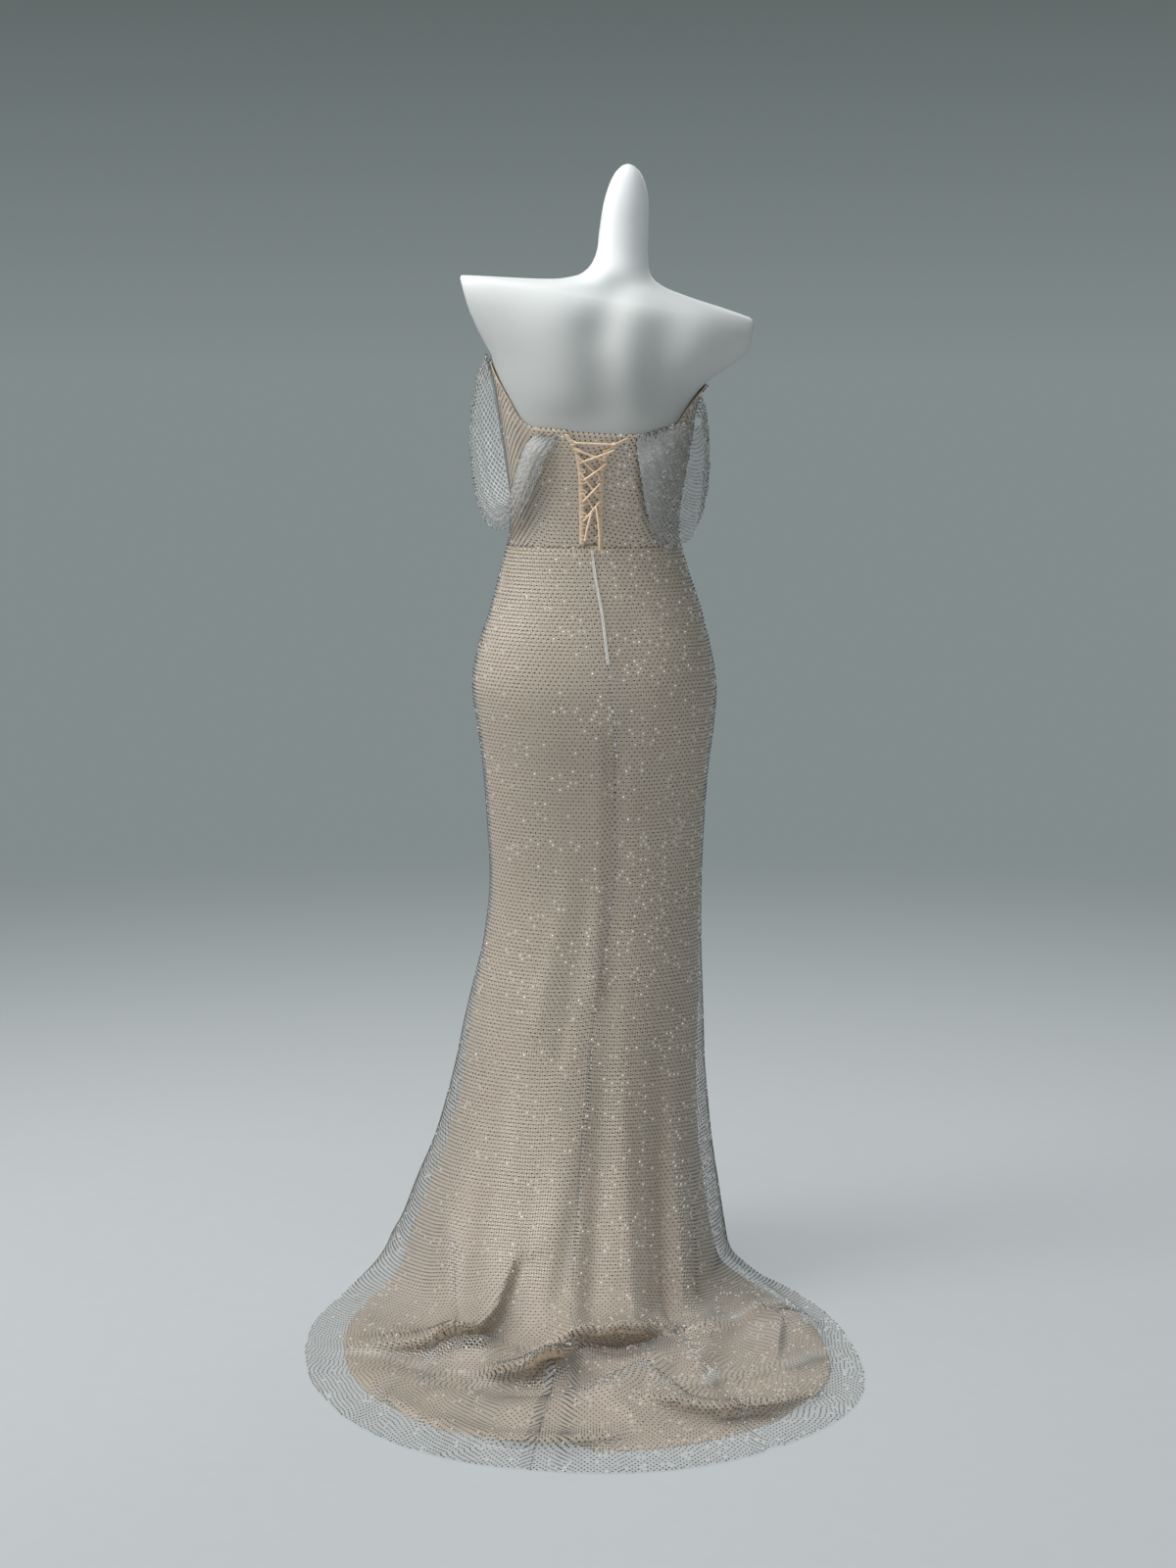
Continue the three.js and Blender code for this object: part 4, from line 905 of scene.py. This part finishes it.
# Bodice
# A strapless bodice in the same three panels: a nude satin lining close on the form and the
# beaded net over it, open down the centre back for the laced placket.
LINING_OUT = 4
NET_OUT = 5.6
TOP_EDGE = {
    "angle": [-180, -165, -140, -115, -90, -65, -40, -15, 5, 19, 30, 38, 49, 60, 90, 120, 131, 142, 150, 161,
              175, 180],
    "level": [1299, 1303, 1299, 1286, 1276, 1286, 1293, 1292, 1284, 1264, 1243, 1224, 1213, 1212, 1212, 1212,
              1214, 1226, 1243, 1268, 1293, 1299],
}
PLACKET = {
    "level": [1050, 1056, 1110, 1150, 1170, 1185, 1198, 1208, 1220],
    "left": [15, 16.5, 17, 18.5, 20.5, 25, 32, 38, 42],
    "right": [-1, -3, -4.5, -5.5, -8, -14, -27, -42, -52],
}
BODICE_ROWS = 60
BODICE_COLUMNS = 70


def angle_across(x, level):
    """The angle round the form's back of a place at a distance across it."""
    share = (x - value_at(FORM, "level", "x", level)) / value_at(FORM, "level", "half", level)
    return np.arccos(signed_power(np.clip(share, -1, 1), value_at(FORM, "level", "square", level) / 2))


def top_level(angle):
    degrees = np.degrees(angle)
    return value_at(TOP_EDGE, "angle", "level", np.where(degrees > 180, degrees - 360, degrees))


def bodice_places(start, end, out, columns):
    share = np.linspace(0, 1, columns)[None, :] * np.ones((BODICE_ROWS, 1))
    up = np.linspace(1, 0, BODICE_ROWS)[:, None] * np.ones((1, columns))
    low = WAIST + SEAM_GAP
    level = np.full(share.shape, float(low))
    for turn in range(4):
        angle = start(level) + (end(level) - start(level)) * share
        level = low + (top_level(angle) - low) * up
    return moved_out(form_surface, angle, level, out)


def placket_edge(side):
    return lambda level: angle_across(value_at(PLACKET, "level", side, level), level)


# Each panel's two edges, its share of the columns, and its cut in metres: width, length, the
# lining's area and the area of the net's threads.
BODICE_PANELS = {
    "front": (lambda level: RIGHT_SEAM - 2 * math.pi + 0 * level, lambda level: SIDE_SEAM + 0 * level, 2,
              (0.39, 0.25, 0.086, 0.038)),
    "back_left": (lambda level: SIDE_SEAM + 0 * level, placket_edge("left"), 1, (0.16, 0.26, 0.031, 0.0141)),
    "back_right": (placket_edge("right"), lambda level: RIGHT_SEAM + 0 * level, 1,
                   (0.17, 0.25, 0.030, 0.0138)),
}
for panel, (start, end, parts, (width, length, area, thread_area)) in BODICE_PANELS.items():
    columns = BODICE_COLUMNS * parts
    places = bodice_places(start, end, LINING_OUT, columns)
    cloth = grid_mesh("bodice_lining_cloth_" + panel, places, lining_satin)
    add_wall(cloth, LINING_WALL)
    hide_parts("bodice_lining_" + panel)
    places = bodice_places(start, end, NET_OUT, columns)
    beaded_net("bodice_" + panel, places)

# Modesty panel
# Nude satin with the same beaded net over it, sewn in behind the lacing so that the form
# doesn't show between the placket's edges.
MODESTY = {"behind": 7, "top": 1210, "bottom": 1058, "out": 1.9}
share = np.linspace(0, 1, 24)[None, :]
level = np.linspace(MODESTY["top"], MODESTY["bottom"], 40)[:, None]
left = value_at(PLACKET, "level", "left", level) + MODESTY["behind"]
right = value_at(PLACKET, "level", "right", level) - MODESTY["behind"]
modesty_places = moved_out(form_surface, angle_across(left + (right - left) * share, level + 0 * share),
                           level + 0 * share, MODESTY["out"])
modesty = grid_mesh("modesty_panel_cloth", modesty_places, lining_satin)
add_wall(modesty, LINING_WALL)
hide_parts("modesty_panel")
spots, outs, free, cells = knots_over(modesty_places + [0, 0.5, 0], 12)
modesty_net = thread_net("modesty_panel_net", spots, cells)[0]
modesty_stones = stones_on("modesty_panel_stones", spots[free], outs[free])

# Placket bindings
# Nude satin cut on the bias, folded over the placket's edges and edge-stitched: narrow on
# the left, wider at the top on the right.
binding_satin = satin("nude_binding", (0.66, 0.53, 0.40, 1), (0.55, 0.43, 0.32, 1), 0.6)
BINDING_WIDTH = 7
BINDING_WALL = 1.2
BINDING_CLOTH = 0.8
BINDING_BOTTOM = 1056


def strip_places(edge_x, level, side, width, out, crown):
    """A flat strip over the net from an edge outward, rounded over its middle."""
    share = np.linspace(0, 1, 9)[None, :]
    x = edge_x[:, None] + side * width * (share - 0.2)
    level = level[:, None] + 0 * share
    rise = crown * (1 - (2 * share - 1) ** 4)
    return moved_out(form_surface, angle_across(x, level), level, out + rise + 0 * x)


level = np.linspace(MODESTY["top"] - 3, BINDING_BOTTOM, 60)
for column, side in (("left", 1), ("right", -1)):
    places = strip_places(value_at(PLACKET, "level", column, level), level, side, BINDING_WIDTH,
                          NET_OUT + SEAM_GAP, BINDING_WALL)
    if side < 0:
        places = places[:, ::-1]
    binding = grid_mesh("placket_binding_cloth_" + column, places[:, ::-1], binding_satin)
    add_wall(binding, BINDING_CLOTH)
    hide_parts("placket_binding_" + column)

# Lacing
# One nude round cord, laced crosswise through small cord loops along both edges: a bar
# across the top, then four crossings each way. Each has its solid, both ends (across, up) and
# the layer it lies in.
SPANS = [
    ("lacing_bar", (30, 1196), (-26, 1197), 0),
    ("lacing_down_1", (30, 1188), (-12, 1174), 0),
    ("lacing_up_1", (-24, 1189), (18, 1171), 1),
    ("lacing_down_2", (26, 1180), (-6, 1150), 0),
    ("lacing_up_2", (-14, 1170), (15, 1147), 1),
    ("lacing_down_3", (20, 1156), (-3, 1124), 0),
    ("lacing_up_3", (-6, 1143), (17, 1117), 1),
    ("lacing_down_4", (18, 1130), (-2, 1098), 0),
    ("lacing_up_4", (-5, 1117), (16, 1090), 1),
]
BINDING_TOP = NET_OUT + SEAM_GAP + BINDING_WALL
LACE_OUT = BINDING_TOP + SEAM_GAP + CORD_WIDTH / 2
LAYER_STEP = CORD_WIDTH + 0.4


def on_back(x, level, out):
    return moved_out(form_surface, angle_across(np.float64(x), np.float64(level)), np.float64(level), out)


routes = []
for name, (x1, z1), (x2, z2), layer in SPANS:
    t = np.linspace(0, 1, 7)
    lift = LACE_OUT + layer * LAYER_STEP * np.sin(math.pi * np.clip(t, 0.02, 0.98)) ** 0.5
    routes.append([tuple(on_back(x1 + (x2 - x1) * s, z1 + (z2 - z1) * s, out)) for s, out in zip(t, lift)])
lacing = round_cord("lacing_cord", routes, CORD_WIDTH)
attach(lacing, "root")
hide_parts(*[span[0] for span in SPANS])

LOOP_LEVELS = [1196, 1186, 1172, 1158, 1144, 1130, 1114, 1098, 1082, 1066]
LOOP_WIDTH = 2.0
LOOP_OUT = 0.9
# A loop's bight, out from the placket's edge and up from its middle.
LOOP_BIGHT = [(3.5, 3.2), (-1.0, 2.4), (-4.6, 0), (-1.0, -2.4), (3.5, -3.2)]
loops = []
for column, side in (("left", 1), ("right", -1)):
    for level in LOOP_LEVELS:
        edge = float(value_at(PLACKET, "level", column, level))
        loops.append([tuple(on_back(edge + side * x, level + z, BINDING_TOP + LOOP_OUT))
                      for x, z in LOOP_BIGHT])
lacing_loops = round_cord("lacing_loops", loops, LOOP_WIDTH)
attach(lacing_loops, "root")

# Zip
# A white invisible zip closed down the top of the centre back seam: two tapes with the
# coil's fine teeth turned in between them.
zip_tape = Finish("zip_tape", Sheen_Weight=0.15)
cloth = zip_tape.place("UV")
teeth = zip_tape.node("ShaderNodeTexWave", {"bands_direction": "Y"}, {
    "Vector": cloth, "Scale": 180, "Distortion": 0.2, "Detail": 1}, "Fac")
weave = zip_tape.noise(2600, 2, cloth)
zip_tape.feed(
    Base_Color=zip_tape.mix(0.6 * teeth + 0.4 * weave, (0.50, 0.47, 0.43, 1), (0.84, 0.82, 0.78, 1)),
    Roughness=zip_tape.ramp(weave, 0.3, 0.7, 0.45, 0.6),
    Normal=zip_tape.bump(teeth, 0.0004, 0.8),
)
ZIP_WIDTH = 2.8
ZIP_WALL = 0.6
ZIP_RADIUS = 120
ZIP_END = LANDING_SHARE * 3 / 19
down = np.linspace(0.002, ZIP_END, 60)[:, None]
share = np.linspace(-0.5, 0.5, 9)[None, :]
rise = 1.5 - 1.1 * np.exp(-((share / 0.12) ** 2)) - 0.5 * (2 * share) ** 4
zip_places = moved_out(net_surface, back_seam(down) + share * ZIP_WIDTH / ZIP_RADIUS, down + 0 * share,
                       SEAM_GAP + rise + 0 * down, -1)
zip_piece = grid_mesh("zip_tapes", zip_places, zip_tape.material)
add_wall(zip_piece, ZIP_WALL)
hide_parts("zip")

# Sleeves
# One strip of beaded net each, unlined, gathered to the bodice in front of the arm and at
# the back edge, and hanging in a soft loop off the shoulder.
# The top and the hem edge of each sleeve at shares of the way round from the front, and how far
# its middle puffs out there.
SLEEVES = {
    "left": {
        "at": [0, 0.08, 0.22, 0.38, 0.54, 0.68, 0.8, 0.9, 1],
        "topX": [146, 156, 148, 136, 125, 118, 115, 102, 88],
        "topY": [-62, -52, -36, -18, 8, 36, 58, 70, 76],
        "topZ": [1312, 1319, 1276, 1212, 1150, 1118, 1142, 1184, 1212],
        "hemX": [128, 158, 175, 176, 162, 134, 102, 78, 58],
        "hemY": [-84, -84, -78, -58, -14, 34, 70, 88, 92],
        "hemZ": [1292, 1282, 1234, 1160, 1096, 1075, 1104, 1154, 1208],
        "puff": [1, 8, 14, 16, 15, 10, 7, 4, 1],
    },
    "right": {
        "at": [0, 0.08, 0.22, 0.38, 0.54, 0.7, 0.82, 0.92, 1],
        "topX": [-142, -150, -150, -150, -149, -143, -137, -131, -124],
        "topY": [-64, -54, -36, -12, 14, 38, 53, 60, 64],
        "topZ": [1258, 1264, 1250, 1234, 1224, 1220, 1220, 1222, 1224],
        "hemX": [-130, -150, -156, -152, -140, -100, -75, -63, -62],
        "hemY": [-86, -84, -76, -52, -4, 62, 90, 97, 93],
        "hemZ": [1238, 1226, 1186, 1120, 1068, 1052, 1084, 1142, 1206],
        "puff": [1, 5, 8, 10, 12, 12, 9, 5, 1],
    },
}
SLEEVE_CLEARANCE = 0.9
SLEEVE_SEWN = 0.07
BODICE_FRONT_TOP = 1318
GATHER_COUNT = 5
GATHER_DEPTH = 2.6


def level_of(place):
    level = place[..., 2]
    for turn in range(3):
        tip = np.radians(value_at(FORM, "level", "tip", level))
        level = place[..., 2] - (place[..., 0] - value_at(FORM, "level", "x", level)) * np.tan(tip)
    return level


def gown_at(column, level):
    """A size of the form under the bodice, or of the skirt below the waist."""
    return np.where(level >= WAIST, value_at(FORM, "level", column, level),
                    value_at(SKIRT, "level", column, level))


def clear_of_bodice(place, clearance):
    """Places moved straight out, where they have to be, until they are clear of the gown."""
    level = level_of(place)
    net_out = np.where(level >= WAIST, NET_OUT, 0)
    x0 = gown_at("x", level)
    y0 = np.where(level >= WAIST, value_at(FORM, "level", "y", level), 0)
    x = place[..., 0] - x0
    y = place[..., 1] - y0
    half = gown_at("half", level) + net_out + NET_WALL + clearance
    deep = np.where(y > 0, gown_at("back", level), gown_at("front", level)) + net_out + NET_WALL + clearance
    square = gown_at("square", level)
    far = (np.abs(x / half) ** square + np.abs(y / deep) ** square) ** (1 / square)
    far = np.where((far < 1) & (place[..., 2] < BODICE_FRONT_TOP), far, 1)
    return np.stack([x0 + x / far, y0 + y / far, place[..., 2]], axis=-1)


def on_bodice(place, out):
    """Places moved on to the bodice, a distance out from the form."""
    level = level_of(place)
    x = place[..., 0] - value_at(FORM, "level", "x", level)
    y = place[..., 1] - value_at(FORM, "level", "y", level)
    deep = np.where(y > 0, value_at(FORM, "level", "back", level), value_at(FORM, "level", "front", level))
    power = value_at(FORM, "level", "square", level) / 2
    across = signed_power(x / value_at(FORM, "level", "half", level), power)
    return moved_out(form_surface, np.arctan2(signed_power(y / deep, power), across), level, out)


def sleeve_places(rows, side, along, across):
    along, across = np.broadcast_arrays(along, across)
    top = np.stack([value_at(rows, "at", "top" + axis, along) for axis in "XYZ"], axis=-1)
    hem = np.stack([value_at(rows, "at", "hem" + axis, along) for axis in "XYZ"], axis=-1)
    place = top + (hem - top) * across[..., None]
    arch = np.sin(math.pi * across)
    puff = value_at(rows, "at", "puff", along)
    gather = GATHER_DEPTH * np.sin(2 * math.pi * GATHER_COUNT * across)
    gather = gather * np.sin(math.pi * np.minimum(along * 1.1, 1))
    out_x = place[..., 0] + 5 * side
    length = np.hypot(out_x, place[..., 1])
    push = puff * arch + gather * 0.6
    sag = -0.35 * puff * arch
    place = place + np.stack([out_x / length * push, place[..., 1] / length * push, sag], axis=-1)
    clear = clear_of_bodice(place, SLEEVE_CLEARANCE)
    sewn = np.maximum(np.maximum(1 - along / SLEEVE_SEWN, 1 - (1 - along) / SLEEVE_SEWN), 0)
    share = smooth_step(sewn, 0, 0.95)[..., None]
    return clear + (on_bodice(clear, NET_OUT + SEAM_GAP + NET_WALL / 2) - clear) * share


# The sleeves' thread is the net's own thread painted darker: painted shade.
sleeve_thread_painted_shade = thread_finish("sleeve_net_thread_painted_shade", (0.17, 0.17, 0.165, 1), (0.56, 0.56, 0.55, 1))
# Share of the sleeves' stones painted with glints.
SLEEVE_GLITTER = 0.3
along = np.linspace(0, 1, 120)[:, None]
across = np.linspace(0, 1, 50)[None, :]
for name, side in (("left", 1), ("right", -1)):
    places = sleeve_places(SLEEVES[name], side, along, across)
    if side < 0:
        places = places[:, ::-1]
    sleeve = beaded_net("sleeve_" + name, places,
                        SLEEVE_GLITTER)
    sleeve.data.materials[0] = sleeve_thread_painted_shade

# Studio
# A plain pale floor that falls off into a grey backdrop, and plain soft light: the key high
# on the camera's left, a low fill beside it on the right, one overhead and one in front.
# The floor also glows: painted light, brightest in a pool round the gown, where it thins
# the gown's cast shadow.
BACKDROP = (0.228, 0.262, 0.266)
BACKDROP_TOP = (0.118, 0.142, 0.140)
# Middle and reach, in metres, of the pool of painted light on the floor.
LIT_MIDDLE = (0, 1.2, 0)
LIT_REACH = (1.7, 5.0)
bpy.ops.object.select_all(action="DESELECT")
bpy.ops.mesh.primitive_grid_add(x_subdivisions=60, y_subdivisions=60, size=60)
floor = bpy.context.object
floor.name = "studio_floor"
paint = Finish("studio_floor_painted_glow", Specular_IOR_Level=0.0, Emission_Strength=1.0)
middle = {0: paint.place(), 1: LIT_MIDDLE}
aside = paint.node("ShaderNodeVectorMath", {"operation": "SUBTRACT"}, middle, "Vector")
distance = paint.node("ShaderNodeVectorMath", {"operation": "LENGTH"}, {0: aside}, "Value")
near = paint.ramp(distance, *LIT_REACH, 1, 0)
near = near * near * (3 - 2 * near)
speck = paint.noise(30, 3)
pale = paint.mix(speck, (0.19, 0.20, 0.206, 1), (0.21, 0.22, 0.226, 1))
# Near the gown the floor glows brighter than the backdrop, painted light that thins the gown's cast shadow;
# further off it shows only the backdrop's glow.
paint.feed(
    Base_Color=paint.mix(near, (0, 0, 0, 1), pale),
    Emission_Color=paint.mix(near, (*BACKDROP, 1), (0.315, 0.338, 0.348, 1)),
    Roughness=paint.ramp(speck, 0.3, 0.7, 0.8, 0.9),
)
floor.data.materials.append(paint.material)

world = bpy.data.worlds.new("studio")
bpy.context.scene.world = world
world.use_nodes = True
sky = world.node_tree.nodes
way = sky.new("ShaderNodeTexCoord")
parts = sky.new("ShaderNodeSeparateXYZ")
rise = sky.new("ShaderNodeMapRange")
rise.inputs["From Min"].default_value = 0.0
rise.inputs["From Max"].default_value = 0.13
tone = sky.new("ShaderNodeMix")
tone.data_type = "RGBA"
tone.inputs[6].default_value = (*BACKDROP, 1)
tone.inputs[7].default_value = (*BACKDROP_TOP, 1)
world.node_tree.links.new(way.outputs["Generated"], parts.inputs[0])
world.node_tree.links.new(parts.outputs["Z"], rise.inputs["Value"])
world.node_tree.links.new(rise.outputs[0], tone.inputs[0])
world.node_tree.links.new(tone.outputs[2], sky["Background"].inputs[0])
bpy.context.scene.view_settings.view_transform = "Standard"

# Place, size across, power in watts and colour of each source; all aim at the gown's middle.
LIGHTS = [
    ((2.5, 0.8, 2.8), 1.9, 84, (1.0, 0.99, 0.97)),
    ((-1.3, 4.2, 0.5), 2.2, 46, (0.97, 0.98, 1.0)),
    ((0.7, 0.3, 4.2), 2.4, 80, (0.98, 0.99, 1.0)),
    ((-1.6, -3.6, 3.0), 2.0, 30, (0.96, 0.98, 1.0)),
]
GOWN_MIDDLE = (0, 0, 0.8)
for place, size, power, colour in LIGHTS:
    bpy.ops.object.light_add(type="AREA", location=place)
    light = bpy.context.object
    light.data.shape = "DISK"
    light.data.size = size
    light.data.energy = power
    light.data.color = colour
    aim = [c - p for c, p in zip(GOWN_MIDDLE, place)]
    flat = math.hypot(aim[0], aim[1])
    light.rotation_euler = (math.atan2(flat, -aim[2]), 0, math.atan2(-aim[0], aim[1]))
